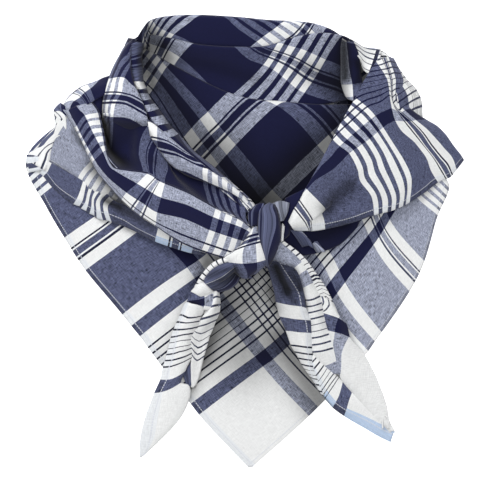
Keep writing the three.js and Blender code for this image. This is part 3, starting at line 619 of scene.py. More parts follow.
fold(weft_rows([
    (440, [(272, 226, 44, 470), (272, 238, 42, 455), (274, 250, 40, 440)]),
    (440, [(290, 220, 40, 470), (288, 236, 36, 450), (290, 252, 34, 430)]),
    (440, [(306, 215, 36, 470), (304, 234, 30, 445), (304, 254, 26, 425)]),
    (440, [(324, 212, 28, 470), (322, 232, 22, 445), (324, 250, 13, 425)]),
    (440, [(346, 208, 20, 470), (344, 226, 12, 450), (342, 242, 6, 430)]),
    (440, [(366, 206, 16, 465), (362, 216, 10, 455), (358, 226, 6, 440)]),
]), turns=[("right", 2.0, 8)], creases=[([(300, 228), (322, 232), (345, 228)], -1.5, 5)])
fold(ribbon([474, 478, 482], [
    (440, [(291, 230, 40), (296, 231, 42), (301, 233, 40)]),
    (440, [(297, 238, 37), (303, 237, 40), (309, 240, 36)]),
    (440, [(303, 247, 32), (308, 245.5, 35), (313, 248, 31)]),
]), turns=[("left", 1.5, 4), ("right", 1.5, 4)])
fold(ribbon([440, 442, 444], [
    (480, [(312, 244, 28), (314.5, 242.5, 31), (317, 244.5, 28)]),
    (480, [(315, 249, 24), (319, 247, 28), (323, 249, 23)]),
    (480, [(318, 253, 20), (321.5, 251.5, 23), (325, 252, 19)]),
]), turns=[("left", 1.2, 4), ("right", 1.2, 4)])

# Knot: the two gathered ends, crossed and drawn tight. It has dark folds behind, the upright
# loop, the front loop, and the lump at its left, with its stitched hem and its ladder of fine
# lines on top.
fold(warp_rows([
    (440, [(256, 205, 50, 276), (260, 203.5, 54, 282), (264, 204, 55, 288)]),
    (440, [(250, 212, 50, 274), (257, 211, 56, 282), (263, 211, 57, 289)]),
    (440, [(249.5, 220, 50, 273), (255.5, 219.5, 56, 282), (262, 219.5, 57, 289)]),
    (440, [(251, 227, 50, 275), (256, 226, 55, 283), (261, 227, 56, 289)]),
]), turns=[("left", 2.0, 6)], creases=[([(253, 206), (254, 216), (254, 226)], -1.2, 2)])
fold(warp_rows([
    (480, [(272, 204, 50, 440), (280, 201, 53, 445), (288, 203, 50, 450)]),
    (480, [(274.5, 212, 52, 440), (281, 210, 55, 445), (287, 211, 51, 450)]),
    (480, [(278, 222, 53, 440), (280, 221.5, 55, 442), (282.5, 221, 53, 444)]),
]), turns=[("right", 1.5, 5)], creases=[([(281, 203), (281, 220)], 1.0, 2)])
fold(ribbon([430, 440, 450], [
    (440, [(286, 198, 42), (294, 194, 45), (305, 189, 46)]),
    (440, [(282, 212, 44), (289, 209, 47), (298, 204, 46)]),
    (440, [(280, 228, 44), (285, 226, 47), (292, 220, 44)]),
    (440, [(280, 241, 42), (283, 240, 44), (288, 236, 40)]),
]), turns=[("left", 1.5, 5), ("right", 2.0, 8)])
fold(ribbon([480, 482, 484], [
    (480, [(281.5, 224, 51), (282.5, 223.5, 53), (283.8, 226, 51)]),
    (480, [(281, 233, 52), (281.8, 233, 54), (282.6, 234, 52)]),
    (480, [(280.5, 242, 51), (281.5, 242, 53), (282.5, 241, 51)]),
]), turns=[("right", 1.2, 4)])
fold(warp_rows([
    (440, [(266.5, 204.5, 52, 286), (268.5, 203.5, 55, 294), (271, 203.5, 55, 300),
          (274, 204.5, 52, 306)]),
    (440, [(260.5, 209, 56, 286), (264, 208, 60, 293), (272, 208, 61, 303.9), (276, 209, 57, 312)]),
    (440, [(259, 217, 59, 286), (262.5, 217, 64, 290.5), (275, 217, 65, 303.9), (278.5, 218, 60, 312)]),
    (440, [(258.5, 228, 60, 286), (262.5, 228, 66, 291), (275, 228, 66, 303.9), (279.5, 230, 61, 316)]),
    (440, [(259.5, 239, 60, 287), (263, 240, 66, 292), (271.5, 240, 67, 303.9), (279, 240, 61, 324)]),
    (440, [(262, 250, 58, 288), (264.5, 250, 64, 293), (268.5, 251, 65, 303.9), (276, 250, 59, 328)]),
    (440, [(264.5, 259, 55, 289), (266, 259, 59, 294), (267, 259.5, 59, 303.9), (272.5, 258, 55, 322)]),
    (440, [(266, 266, 50, 290), (267, 266.5, 52, 295), (268, 266.5, 52, 302), (269.5, 265, 50, 308)]),
]), turns=[("left", 2.0, 8), ("right", 2.0, 8)],
     creases=[([(270, 212), (269, 232), (267, 250)], 0.8, 3.5)])
fold(warp_rows([
    (258, [(252, 229, 56, 100), (253.5, 227.5, 58, 92), (255.5, 226.5, 58, 80), (257, 226.5, 56, 72)]),
    (272, [(248, 236, 57, 105), (251, 234.5, 60, 92), (257, 233, 60, 80), (259.5, 232.5, 57, 70)]),
    (277, [(245, 241, 57, 105), (249, 239, 61, 90), (257, 237, 61, 78), (261, 236, 58, 64)]),
    (286, [(240, 246.5, 56, 105), (247, 243.5, 61, 90), (257, 240.5, 62, 77), (263.5, 239, 58, 62)]),
    (290.5, [(232, 252.5, 54, 105), (245, 247.5, 61, 89), (256, 244.5, 62, 76),
          (264.5, 242.5, 58, 60)]),
    (296, [(226.5, 257, 52, 100), (244, 254, 60, 89), (256.5, 252, 62, 76), (267, 250, 58, 60)]),
    (304, [(229, 261.5, 50, 99), (244, 263, 58, 89), (257, 261.5, 60, 76), (267.5, 258.5, 56, 60)]),
    (312, [(235, 271, 47, 99), (247.5, 270, 54, 89), (256.5, 269, 55, 77), (265, 265, 52, 66)]),
    (320, [(243, 277.5, 42, 98), (248, 277, 45, 89), (250, 275.5, 46, 80), (256, 273, 45, 74)]),
]), turns=[("left", 2.5, 10), ("right", 2.0, 8), ("bottom", 3.0, 8)], creases=[
    ([(249, 236), (248, 250), (247, 270)], -0.9, 3),
    ([(230, 256), (243, 252), (260, 247)], 0.8, 3),
])
fold(ribbon([462, 478, 500], [
    (430, [(228, 268, 44), (233, 271, 46), (239, 276.5, 42)]),
    (430, [(220, 274, 43), (227, 278, 46), (236, 283, 38)]),
    (430, [(212, 280, 41), (219, 285, 43), (228, 289, 34)]),
    (430, [(205, 284, 36), (210, 288, 38), (216, 292, 31)]),
]), turns=[("right", 2.5, 8)], creases=[([(212, 288), (224, 282), (234, 276)], -1.0, 2.5)])
fold(ribbon([34, 20, 5, -2], [
    (430, [(232, 260, 47), (233, 263.5, 51), (234.5, 267, 52), (236, 269.5, 49)]),
    (430, [(222, 262.5, 47), (222, 268, 53), (223.5, 275.5, 52), (225, 278.5, 48)]),
    (430, [(213, 267, 44), (213, 273, 49), (215, 280, 47), (216.5, 283, 43)]),
    (430, [(206, 274, 40), (206, 278, 43), (207.5, 283, 42), (209, 286, 39)]),
    (430, [(203, 280, 36), (203.5, 281.5, 38), (204.5, 284, 38), (205.5, 286, 36)]),
]), turns=[("left", 2.0, 8), ("right", 2.0, 8)],
     creases=[([(209, 276), (220, 271), (231, 265)], -1.6, 2.5)])
fold(ribbon([480, 482, 485], [
    (101, [(231, 257.5, 50), (230.5, 259, 51), (230.5, 261, 50)]),
    (110, [(222.5, 259.3, 50), (223, 261, 51), (224, 263, 50)]),
    (120, [(214.5, 262.8, 47), (215.5, 264.4, 49), (217, 266, 48)]),
    (129, [(208.5, 268, 44), (209.8, 269.3, 46), (211.5, 270.8, 45)]),
    (138, [(203.5, 274, 41), (205, 275.2, 43), (207, 276.6, 42)]),
    (147, [(199.5, 280, 39), (201, 281, 40), (203, 282, 39)]),
    (157, [(195.5, 287, 35), (197, 287.7, 36), (199, 288.5, 35)]),
]), turns=[("left", 1.5, 4)])
fold(ribbon([50, 44, 36], [
    (40, [(202, 280.5, 38), (206, 284, 40), (212.5, 290.5, 36)]),
    (50, [(197, 286, 38), (202, 289, 41), (208, 293.5, 36)]),
    (60, [(192.5, 291, 35), (198, 294, 37), (203, 297, 34)]),
]), turns=[("left", 1.5, 5), ("right", 1.5, 5), ("bottom", 1.5, 5)])

# Left tie end: one corner of the square, drawn through the knot. It has a collar below the lump,
# an inner lobe and the outer lobe, whose stitched hem narrows towards the tip.
fold(weft_rows([
    (68, [(218, 291, 29, 194), (211, 289.5, 33, 190), (203, 294, 35, 186), (193, 291, 33, 177)]),
    (76, [(218.5, 297, 28, 194), (212, 293, 33, 190), (203, 298, 35, 186), (187, 301, 30, 175)]),
    (89, [(218.5, 306, 25, 194), (212, 306, 30, 190), (203, 304.5, 31, 186), (190, 303, 27, 176)]),
    (95, [(217, 310, 22, 194), (211, 310, 27, 190), (202, 310, 28, 187), (192, 309, 24, 187)]),
]), turns=[("left", 1.5, 5)])
fold(weft_rows([
    (166, [(213, 291, 31, 40), (216, 289, 34, 40), (218.5, 291, 28, 40)]),
    (158, [(212.5, 299.5, 30, 40), (216, 297.5, 33, 40), (219.3, 298, 26, 40)]),
    (151, [(209, 308.5, 27, 42), (214, 306.5, 31, 40), (219.5, 305.5, 23, 40)]),
    (143.6, [(200.5, 320.5, 22, 44), (209, 318, 26, 40), (218, 314.5, 19, 40)]),
    (136.5, [(199, 327, 19, 46), (206, 325, 21, 40), (215, 321, 15, 40)]),
    (129.4, [(193.5, 332, 18, 48), (200, 335.5, 15, 40), (211.5, 330, 13, 40)]),
    (122.3, [(191.5, 337, 17, 50), (198.5, 342.5, 12, 40), (208.5, 337, 12, 40)]),
    (115.2, [(191.5, 343.5, 15, 52), (197.5, 349.5, 10, 40), (206.5, 344.5, 10, 40)]),
    (108.1, [(192, 350, 13, 54), (197, 356, 8, 40), (204.5, 351.5, 8.5, 40)]),
    (101, [(192, 357, 11, 56), (196.5, 362, 7, 40), (202.5, 358.5, 7, 40)]),
    (96, [(191.5, 365, 9, 58), (195.5, 369, 6, 40), (200.5, 367, 6, 40)]),
    (93, [(191.5, 376, 7, 60), (194, 379, 5.5, 40), (198, 377, 5, 40)]),
    (91, [(191.5, 388, 4.5, 60), (193, 388, 4.6, 50), (195, 386, 4, 40)]),
]), turns=[("left", 1.5, 4), ("right", 2.2, 8)])
LEFT_HEM = [0, 5, 12, 24, 40]      # b at the five stations, where the end is wide
LEFT_END = [
    # a, then the left edge, hem, middle left, middle and right edge
    (172, [(185.5, 303, 26), (188, 302, 30), (192, 303.5, 33), (197, 304.5, 34), (203, 306.5, 30)]),
    (166, [(183, 309, 23), (185.5, 308.5, 27), (190, 310, 30), (196, 311, 31), (202, 312, 27)]),
    (158, [(180, 316, 20), (182.5, 316, 24), (188, 318.5, 27), (194, 318, 28), (200.5, 316.5, 23)]),
    (151, [(177, 323, 17), (180, 323, 21), (186, 323.3, 25), (193, 322.5, 26), (199.5, 321.5, 21)]),
    (144.4, [(174, 330, 15), (177.5, 330, 19), (184, 329.5, 22), (191, 328.5, 23), (197.5, 327, 19)]),
    (137.3, [(171.5, 337.5, 13), (176.5, 336.5, 17), (182, 335, 20), (188, 334, 21), (194, 333, 17)]),
    (130.2, [(170, 343.5, 11), (175.5, 342.5, 15), (181, 341, 18), (186, 340.5, 19), (192, 340, 15)]),
    (123.1, [(168.5, 349.5, 10), (174.5, 348.5, 14), (180, 347, 17), (186, 346, 18), (191.5, 344.5, 14)]),
    (116, [(167, 355.5, 9), (173.5, 354.5, 13), (179, 352.5, 15), (185, 351, 16), (191.5, 348.5, 13)]),
    (108.9, [(165.5, 361.5, 8), (172, 361, 12), (178, 359.5, 14), (184, 357.5, 15), (191.5, 354, 12)]),
    (101.8, [(163.5, 368, 7), (169.5, 367.5, 10), (174, 366, 12), (182, 363, 13), (190.5, 358.5, 11)]),
    (95, [(162, 374, 6), (168, 374, 9), (174, 372, 11), (181, 368.5, 12), (187, 365, 10)]),
    (89, [(160.5, 381, 5.5), (166.5, 381, 8), (172, 380, 10), (178, 377, 11), (183.5, 373, 9)]),
    (76, [(154.5, 394, 5), (160.5, 393, 7), (167, 391, 9), (173, 388, 10), (179.5, 384, 8)]),
    (70, [(152.5, 399, 4.6), (159, 398.5, 6.5), (167, 397, 8.5), (176, 393.5, 9.5), (187, 386, 7)]),
    (60, [(150, 406, 4), (157, 406, 6), (167, 405, 8), (178, 402, 8.5), (189, 396, 6)]),
    (45, [(146, 417, 3.4), (153, 417.5, 5), (163, 418, 6.6), (173, 417, 7), (182, 414, 5)]),
    (30, [(142, 432, 3), (148, 433, 4.2), (156, 433.5, 5.2), (164, 432.5, 5.4), (171, 429, 4)]),
    (15, [(140, 446, 2.8), (144, 446.5, 3.4), (148, 446.5, 4), (152, 446, 4), (156, 444, 3.4)]),
    (1, [(140, 458, 2.6), (140.7, 457.8, 2.7), (141.5, 457.5, 2.8), (142.3, 457.1, 2.8),
         (143.5, 456, 2.6)]),
]
LEFT_NARROWS = 60    # length over which those stations draw together
LEFT_MEETS = 8       # how far past the corner they would meet
left_rows = []
for a, row in LEFT_END:
    narrowing = min(1, (a + LEFT_MEETS) / LEFT_NARROWS)
    left_rows.append([(x, y, z, a, b * narrowing) for (x, y, z), b in zip(row, LEFT_HEM)])
fold(left_rows, turns=[("left", 1.5, 3), ("right", 2.2, 6)],
     creases=[([(176, 392), (172, 410), (160, 438)], -0.8, 5)])
fold(ribbon([50, 55, 60], [
    (180, [(182.5, 376, 6), (186.5, 369, 7), (191, 362, 8)]),
    (180, [(185, 382, 5), (188, 378, 6), (191.5, 374, 6)]),
    (180, [(187.5, 389, 4.5), (189, 388, 5), (191, 386, 5)]),
]), under=0)

# Right tie end: the opposite corner, drawn through the other way. It has the stitched fold, the
# middle strip with its ladder of fine lines, the upper lobe, and the hem with the blue yarn.
fold(warp_rows([
    (244, [(267, 264, 42, 30), (273, 261, 47, 18), (279, 262, 47, 4.6), (290, 263, 42, -2)]),
    (234, [(270, 272, 37, 30), (276, 270, 43, 18), (285, 271.5, 45, 4.6), (296, 271, 40, -3)]),
    (222, [(273, 283, 31, 30), (280, 281, 38, 18), (292, 282, 42, 4.6), (300.5, 283, 36, -2)]),
    (211, [(275.5, 293, 26, 30), (285, 292.5, 33, 17), (298.5, 293, 37, 4.6), (303.5, 295, 32, 0)]),
    (201, [(277, 302.5, 21, 30), (289, 305, 30, 16), (301, 306.5, 31, 5), (305.5, 308, 27, 0)]),
    (186, [(281, 317.5, 15, 30), (294, 319.5, 24, 16), (305, 320.5, 24, 5), (310.5, 321, 21, 0)]),
    (173, [(287, 331.5, 11, 28), (298, 332.5, 19, 15), (307, 333, 19, 5), (311.5, 333.5, 16, 0)]),
    (158, [(292.5, 346.5, 8, 26), (301, 347.5, 15, 14), (307, 348.3, 15, 5), (311.5, 348.7, 12, 0)]),
    (151, [(296.5, 353, 7, 22), (304, 354.3, 13, 11), (308, 355, 13, 5), (311.5, 355.3, 11, 0)]),
    (143.6, [(300, 359.5, 6, 18), (306, 360.5, 11, 9), (309, 361, 11, 4), (311.8, 361.3, 9.5, 0)]),
    (136.5, [(303, 365.5, 5.4, 14), (308, 366.8, 10, 7), (310.5, 367.3, 10, 3.5),
          (313, 367.6, 8.5, 0)]),
    (129, [(306, 370.5, 5, 12), (309.5, 371.5, 9, 6), (312.5, 372, 9, 3), (315, 372.3, 7.5, 0)]),
    (122, [(309, 375, 4.6, 10), (312, 376, 8, 5), (314.5, 376.7, 8, 3), (317, 377, 6.6, 0)]),
    (115, [(312, 379, 4.2, 8), (314.5, 380, 7, 4), (316.5, 380.5, 7, 2), (318.5, 381, 6, 0)]),
    (108, [(316, 386, 3.8, 5), (318, 386.6, 6, 3), (319, 387, 6, 1.5), (320.5, 387, 5, 0)]),
    (99, [(321, 394.5, 3.4, 3), (322, 395, 5, 2), (323, 395.3, 5, 1), (324, 395.5, 4.4, 0)]),
]), turns=[("left", 2.2, 8), ("right", 1.5, 4)], creases=[
    ([(278, 268), (283, 282), (291, 297)], -2.6, 4),
    ([(284, 318), (292, 333), (299, 347)], -0.8, 4),
])
fold(weft_rows([
    (258, [(272, 247, 48, 60), (276, 243.5, 53, 55), (280, 242, 50, 50)]),
    (240, [(271, 255, 47, 60), (280, 250.5, 53, 50), (288, 249, 48, 40)]),
    (215, [(276, 264, 45, 60), (286, 260, 50, 50), (297, 257, 44, 40)]),
    (201, [(294, 268, 41, 50), (298, 264.5, 44, 46), (302, 261.5, 41, 42)]),
    (186, [(299, 275.5, 37, 48), (302.5, 272.5, 41, 44), (307, 270, 37, 40)]),
    (173, [(303, 288, 32, 48), (307.5, 285.5, 37, 42), (313, 283, 32, 36)]),
    (158, [(307, 300.5, 27, 48), (313, 300, 32, 42), (320, 297, 27, 36)]),
    (144, [(309, 313, 22, 48), (316, 311.5, 27, 42), (324, 309.5, 22, 34)]),
    (130, [(311, 326, 18, 48), (318, 324.5, 23, 42), (327, 322, 18, 32)]),
    (116, [(312, 339, 14, 48), (320, 337.5, 19, 42), (330.5, 334.5, 15, 30)]),
    (102, [(313.5, 352.5, 11, 48), (322, 351.5, 16, 40), (333.5, 348.5, 13, 30)]),
    (96, [(318, 359, 10, 46), (326, 357, 14, 38), (335.5, 355, 12, 30)]),
    (89, [(325.5, 367, 8, 44), (330.5, 365, 11, 38), (337, 362, 10, 32)]),
    (76, [(333.5, 374.5, 6.6, 40), (337, 374.5, 8, 36), (340.5, 376, 8, 32)]),
]), turns=[("left", 1.8, 5), ("right", 2.0, 6)],
     creases=[([(300, 270), (309, 300), (315, 330)], 1.0, 3)])
fold(ribbon([60, 55, 50], [
    (160, [(279, 243.3, 48), (280, 242, 50), (281.3, 241, 48)]),
    (146, [(289.5, 250.8, 46), (291, 249.5, 48), (292.5, 248.7, 46)]),
    (132, [(299, 259.8, 42), (300.8, 258, 45), (302.3, 257.2, 43)]),
    (118, [(305.7, 269, 38), (308, 267.5, 41), (310.3, 267, 39)]),
    (101, [(312, 278.5, 34), (315, 276.7, 37), (317.5, 277, 34)]),
    (118, [(316, 287.5, 30), (320, 285.4, 33), (324, 286.5, 30)]),
    (132, [(319, 295, 27), (324, 293, 30), (329.5, 296.5, 26)]),
    (140, [(322, 300, 25), (327, 298, 28), (332.5, 303.5, 23)]),
]), turns=[("left", 1.2, 4), ("right", 1.5, 4)])
fold([
    [(317, 291, 27, 99.6, 112.5), (323, 291, 29, 99.6, 106), (328, 293, 27, 99.6, 99.5),
     (331, 299, 23, 99.6, 96)],
    [(320.5, 302, 25, 97, 113), (326, 301.5, 27, 97, 106.5), (331, 303.5, 25, 97, 99),
     (335, 307, 20, 97, 94)],
    [(322, 308, 23, 94, 108), (329, 309, 26, 93, 100), (335.5, 311.5, 23, 93, 95),
     (339, 316, 18, 93, 90)],
    [(324, 314, 22, 89, 100), (331, 316.5, 25, 89, 94.5), (339, 319.5, 22, 89, 89),
     (346, 324, 16, 89, 82)],
    [(329, 331, 18, 76, 97), (335.5, 332.5, 22, 76, 89), (342, 334.5, 20, 76, 83),
     (350, 338, 12, 76, 75)],
    [(333, 345, 15, 64, 90.5), (340, 346, 20, 64, 81), (349, 347, 17, 64, 71), (360, 349, 8, 64, 60)],
    [(337, 361, 12, 52, 88), (344, 361, 17, 52, 71), (354, 361, 14, 52, 58), (368, 362, 5.5, 52, 45)],
    [(341, 377, 9, 40, 75), (349, 377, 14, 40, 64), (361, 377, 12, 40, 50), (376, 378, 4.4, 40, 38)],
    [(352, 392, 6.5, 30, 58), (359, 391, 11, 30, 50), (368, 391, 9, 30, 42), (382, 393, 3.6, 30, 32)],
    [(362, 403, 5.5, 22, 44), (369, 402, 8.6, 22, 38), (377, 402, 7.4, 22, 32),
     (386.5, 406, 3.2, 22, 26)],
    [(377, 419, 4.4, 12, 26), (381, 417, 6, 12, 22), (385, 417, 5.4, 12, 18), (390, 423, 3, 12, 14)],
    [(391, 433, 3.6, 6, 12), (392.5, 432, 4, 6, 10), (394, 432, 3.6, 6, 9), (395.5, 433.5, 2.8, 6, 8)],
], turns=[("left", 2.0, 5), ("right", 1.8, 6)],
     creases=[([(345, 352), (355, 372), (368, 395)], -0.9, 4)])
fold(warp_rows([
    (158, [(311, 358, 8, 990), (312, 356.5, 9.4, 985), (313.5, 355, 10, 981), (315, 353, 9.6, 978)]),
    (149, [(311.5, 367, 7, 990), (313, 365, 8.6, 985), (316, 361.5, 9.6, 979), (319.5, 357.5, 9, 974)]),
    (140, [(314.5, 375, 6, 990), (316.5, 372.5, 8, 985), (320, 368, 9, 978), (324, 362.5, 8.4, 972)]),
    (130, [(318, 383, 5.4, 990), (320.5, 380, 7.4, 985), (324.5, 374, 8.4, 977), (329, 367, 7.8, 968)]),
    (120, [(320.5, 390, 4.6, 990), (323, 386.5, 6.8, 985), (328, 379, 8, 976),
          (333.5, 371.5, 7.2, 965)]),
    (110, [(323.5, 395, 4, 990), (326, 391.5, 6.2, 985), (331, 384, 7.6, 974), (337, 376, 6.6, 962)]),
    (101, [(326, 399, 3.6, 990), (328.5, 395, 5.8, 985), (333.5, 387.5, 7.2, 972),
          (339.5, 378, 6.2, 960)]),
    (89, [(334, 408, 3, 990), (336.5, 403.5, 5, 985), (340, 396, 6.4, 972), (343.5, 382.5, 6, 960)]),
    (76, [(345, 416, 2.8, 990), (347, 410.5, 4.4, 985), (350, 400, 5.8, 972), (353.5, 391, 5.4, 960)]),
    (60, [(354, 421.5, 2.6, 990), (357, 415.5, 3.8, 985), (361, 406, 5, 975), (364, 401, 4.8, 966)]),
    (40, [(367, 429, 2.6, 990), (370, 422, 3.6, 985), (374, 414, 4.4, 978), (377, 409, 4.4, 972)]),
    (20, [(380, 436.5, 2.6, 990), (383, 429.5, 3.2, 985), (386, 423, 3.8, 981), (388, 419, 3.8, 977)]),
    (6, [(391.5, 442, 2.6, 990), (393.5, 436, 2.8, 986), (394.5, 433.5, 2.8, 984),
          (395.5, 432, 2.8, 983)]),
]), turns=[("left", 1.3, 4)])

# Small hanging loop: a narrow strip of the same cloth, bent round and caught in the hem stitches
# at the corner of the right tie end.
fold(ribbon([30, 31, 32], [
    (40, [(382.6, 429, 5.2), (383.3, 429, 6), (384, 429, 5.2)]),
    (48, [(382.4, 421, 5.2), (383.1, 421, 6), (383.8, 421.4, 5.2)]),
    (52, [(383.7, 417.2, 5.2), (384.2, 417.8, 6), (384.7, 418.5, 5.2)]),
    (55, [(386, 415.8, 5.2), (386, 416.5, 6), (386, 417.3, 5.2)]),
    (58, [(388.3, 417.2, 5.2), (387.8, 417.8, 6), (387.3, 418.5, 5.2)]),
    (62, [(389.6, 421, 5.2), (388.9, 421, 6), (388.2, 421.4, 5.2)]),
    (70, [(389.4, 429, 5.2), (388.7, 429, 6), (388, 429, 5.2)]),
]), rough=0, under=0, spacing=1.2)

# Painted shade between the folds. Cloth deep between folds gets hardly any light, so shade is painted into
# the colour there: in hollows, under rolls and flaps, round the knot and as cast shadow beside the tie
# ends.
# It deepens by how near a spot lies to the route of a hollow and how far below the height at which cloth
# is clear of it.
PAINTED_SHADES = [
    # route, share of light kept, width, height clear of it, softness
    # neck, beside the left wrap, down to the knot, and beside the right wrap
    ([(150, 40), (156, 70), (168, 100), (190, 135), (225, 175), (262, 200)], 0.3, 24, 30, 0.6),
    ([(262, 200), (285, 190), (310, 160), (335, 130), (348, 100), (345, 60)], 0.3, 22, 30, 0.6),
    ([(230, 150), (262, 180), (300, 160)], 0.6, 30, 30, 0.5),
    ([(146, 48), (148, 70), (152, 88)], 0.3, 7, 40, 0.5),
    ([(149, 30), (158, 45), (168, 57)], 0.45, 9, 40, 0.5),
    ([(344, 42), (345, 60), (346, 77)], 0.1, 6, 60, 0.5),
    ([(138, 90), (144, 104), (150, 114)], 0.3, 2.5, 39, 0.9),
    ([(357, 62), (361, 72), (357, 84)], 0.3, 4, 60, 0.5),
    # valleys under the swags
    ([(185, 60), (220, 68), (255, 78)], 0.55, 9, 19, 0.5),
    ([(165, 45), (205, 49), (240, 51)], 0.4, 5, 20, 0.5),
    ([(300, 62), (325, 78), (345, 90)], 0.4, 14, 18, 0.5),
    # behind the roll of the left wrap
    ([(103, 120), (106, 135), (109, 150), (118, 163)], 0.03, 8, 37, 0.6),
    ([(118, 163), (130, 168), (142, 170)], 0.2, 7, 38, 0.6),
    ([(105, 98), (104, 115), (104, 140)], 0.35, 4, 34, 0.6),
    ([(155, 165), (170, 182), (200, 203), (240, 218)], 0.28, 10, 46, 0.6),
    ([(168, 160), (190, 180), (222, 198)], 0.35, 6, 45, 0.5),
    # under the left roll and beside the flaps
    ([(112, 196), (135, 210), (152, 222)], 0.42, 6, 39, 0.5),
    ([(118, 194), (135, 206), (152, 218)], 0.12, 3.5, 36, 0.85),
    ([(74, 130), (88, 155), (105, 183)], 0.25, 3.5, 26, 0.8),
    ([(94, 166), (106, 180), (120, 192)], 0.2, 10, 34, 0.85),
    ([(104, 199), (112, 204), (120, 207)], 0.2, 4, 30, 0.8),
    ([(122, 210), (138, 218), (152, 226)], 0.5, 6, 36, 0.7),
    # inside the stitched fold of the right tie end and beside both ends
    ([(276, 267), (281, 278), (287, 290)], 0.03, 8, 90, 0.8),
    ([(287, 291), (294, 301)], 0.35, 4, 90, 0.8),
    ([(289, 266), (295, 276), (300, 288)], 0.25, 4.5, 50, 0.8),
    ([(282, 338), (299, 366), (320, 402)], 0.26, 21, 4.6, 0.9),
    ([(62, 138), (75, 162)], 0.82, 18, 30, 0.5),
    ([(208, 340), (198, 372), (189, 396)], 0.5, 9, 4, 0.5),
    ([(187, 364), (187, 376), (190, 388)], 0.45, 4, 5, 0.5),
    # around the knot
    ([(209, 276), (218, 272), (227, 270), (236, 268)], 0.35, 3.0, 150, 0.5),
    ([(214, 287), (226, 282), (238, 276)], 0.45, 3.0, 150, 0.5),
    ([(222, 277), (230, 274), (236, 272)], 0.15, 5.5, 53, 0.9),
    ([(280, 203), (282, 218)], 0.5, 7, 70, 0.8),
    ([(206, 264), (200, 274), (192, 286)], 0.55, 4, 44, 0.5),
    ([(284, 228), (286, 238), (292, 246)], 0.3, 9, 46, 0.5),
    ([(257, 214), (258, 228), (257, 233)], 0.45, 2.6, 68, 0.8),
    ([(281, 218), (281, 236)], 0.6, 2.5, 52, 0.3),
    ([(386, 418), (386, 428)], 0.8, 4, 5.4, 0.8),
    # the soft trough in the right flap, and under the lines of both flaps
    ([(326, 208), (338, 197), (350, 186)], 0.35, 9, 120, 0.3),
    ([(108, 201), (120, 205), (132, 212)], 0.3, 5, 32, 0.5),
    ([(95, 96), (88, 103), (80, 107)], 0.6, 4, 28, 0.4),
    ([(246, 244), (238, 252), (228, 258)], 0.75, 4, 53, 0.5),
    # on the panel between the tie ends, under the knot
    ([(238, 278), (240, 320), (243, 350)], 0.42, 40, 9, 0.5),
    ([(225, 300), (215, 330), (207, 360)], 0.45, 12, 6, 0.5),
    ([(170, 330), (160, 355), (153, 380)], 0.7, 7, 3.4, 0.5),
    # under the right flap and beside the right wrap
    ([(300, 238), (325, 234), (345, 224)], 0.5, 8, 40, 0.5),
    ([(300, 270), (272, 290), (276, 305)], 0.4, 9, 30, 0.5),
]


# The share of light that the painted shade keeps at each spot
def light_kept(spots):
    kept = np.ones(len(spots))
    for route, share, width, clear, softness in PAINTED_SHADES:
        route = np.array(route, float)
        far = np.full(len(spots), 1e9)
        for p, q in zip(route, route[1:]):
            t = np.clip(((spots[:, :2] - p) @ (q - p)) / ((q - p) @ (q - p)), 0, 1)
            far = np.minimum(far, np.linalg.norm(spots[:, :2] - (p + t[:, None] * (q - p)), axis=1))
        near = np.exp(-(far / width) ** 2)
        low = np.clip((clear - spots[:, 2]) / (clear * (1 - softness)), 0, 1)
        kept *= 1 - (1 - share) * near * low
    return kept


# The kerchief as one piece of cotton: all its folds in one mesh, in metres around the middle of
# the part. The map "cloth" holds each spot's place on the square, so the stripes run on through
# the folds as they are woven, and a point attribute holds the painted shade, as the share of light kept
# between folds.
MM = 0.001
CHART_X = 244.4      # chart x over the middle of the part
CHART_Y = 241.65     # chart y over the middle of the part
data = bpy.data.meshes.new("kerchief_cloth")
data.from_pydata([((x - CHART_X) * MM, (CHART_Y - y) * MM, z * MM) for x, y, z in points], [], faces)
data.update()
cloth_map = data.uv_layers.new(name="cloth")
corner_places = np.array(places)[[loop.vertex_index for loop in data.loops]] / SIDE
cloth_map.data.foreach_set("uv", corner_places.astype(np.float32).ravel())
data.polygons.foreach_set("use_smooth", [True] * len(data.polygons))
# Painted shade: the share of light kept between folds, stored for each point
painted_shade = data.attributes.new("painted_shade", "FLOAT", "POINT")
painted_shade.data.foreach_set("value", light_kept(np.array(points)).astype(np.float32))
kerchief = bpy.data.objects.new("kerchief_cloth", data)
bpy.context.scene.collection.objects.link(kerchief)

# Yarn-dyed cotton in plain weave, washed and unpressed: matt and soft, with a faint sheen of loose
# fibres. Navy and white yarns run both ways, so navy crossing navy is deep navy, navy crossing
# white is slate one way and a paler heather the other way, and the yarns' slubs mottle both.
HEM = 4.6            # width of the turned hem
STITCH = 2.6         # length of a stitch and its gap
STITCH_SHARE = 0.72  # the stitch's part of that
SEWN_HALF = 0.45     # half the width of the line of stitches
THREAD_COVER = 0.8   # how fully the thread hides the cloth under it
SLUB_FINE = 1.5      # slubs in a millimetre across the yarns
SLUB_LONG = 0.16     # slubs in a millimetre along them, so one is about 6 mm long
# The real yarns lie about 0.3 mm apart, too fine to show, so the weave is drawn coarser
WEAVE = 0.7854       # mm, twice the distance between two yarns as drawn
YARNS = [
    # distance from the hem at which a stripe starts, up to the middle of the cloth; 1 is navy
    (0, 0), (76, 1), (89, 0),
    (101, 1), (102.6, 0), (108.1, 1), (109.7, 0), (115.2, 1), (116.8, 0), (122.3, 1), (123.9, 0),
    (129.4, 1), (131, 0), (136.5, 1), (138.1, 0), (143.6, 1), (145.2, 0), (150.7, 1), (152.3, 0),
    (157.8, 1), (159.4, 0),
    (173, 1), (186, 0), (201, 1), (258, 0), (272, 1), (274.7, 0), (276.7, 1), (285.3, 0), (287.3, 1),
    (290, 0), (304, 1), (361, 0), (367.8, 1), (372.8, 0), (379.6, 1), (384.6, 0), (391.4, 1),
    (396.4, 0), (403.2, 1), (408.2, 0), (415, 1), (472, 0), (486, 1), (488.3, 0), (490.6, 1),
]
RAMP_SPLIT = 230.0   # one colour ramp can't hold all the stripes, so a second one starts here
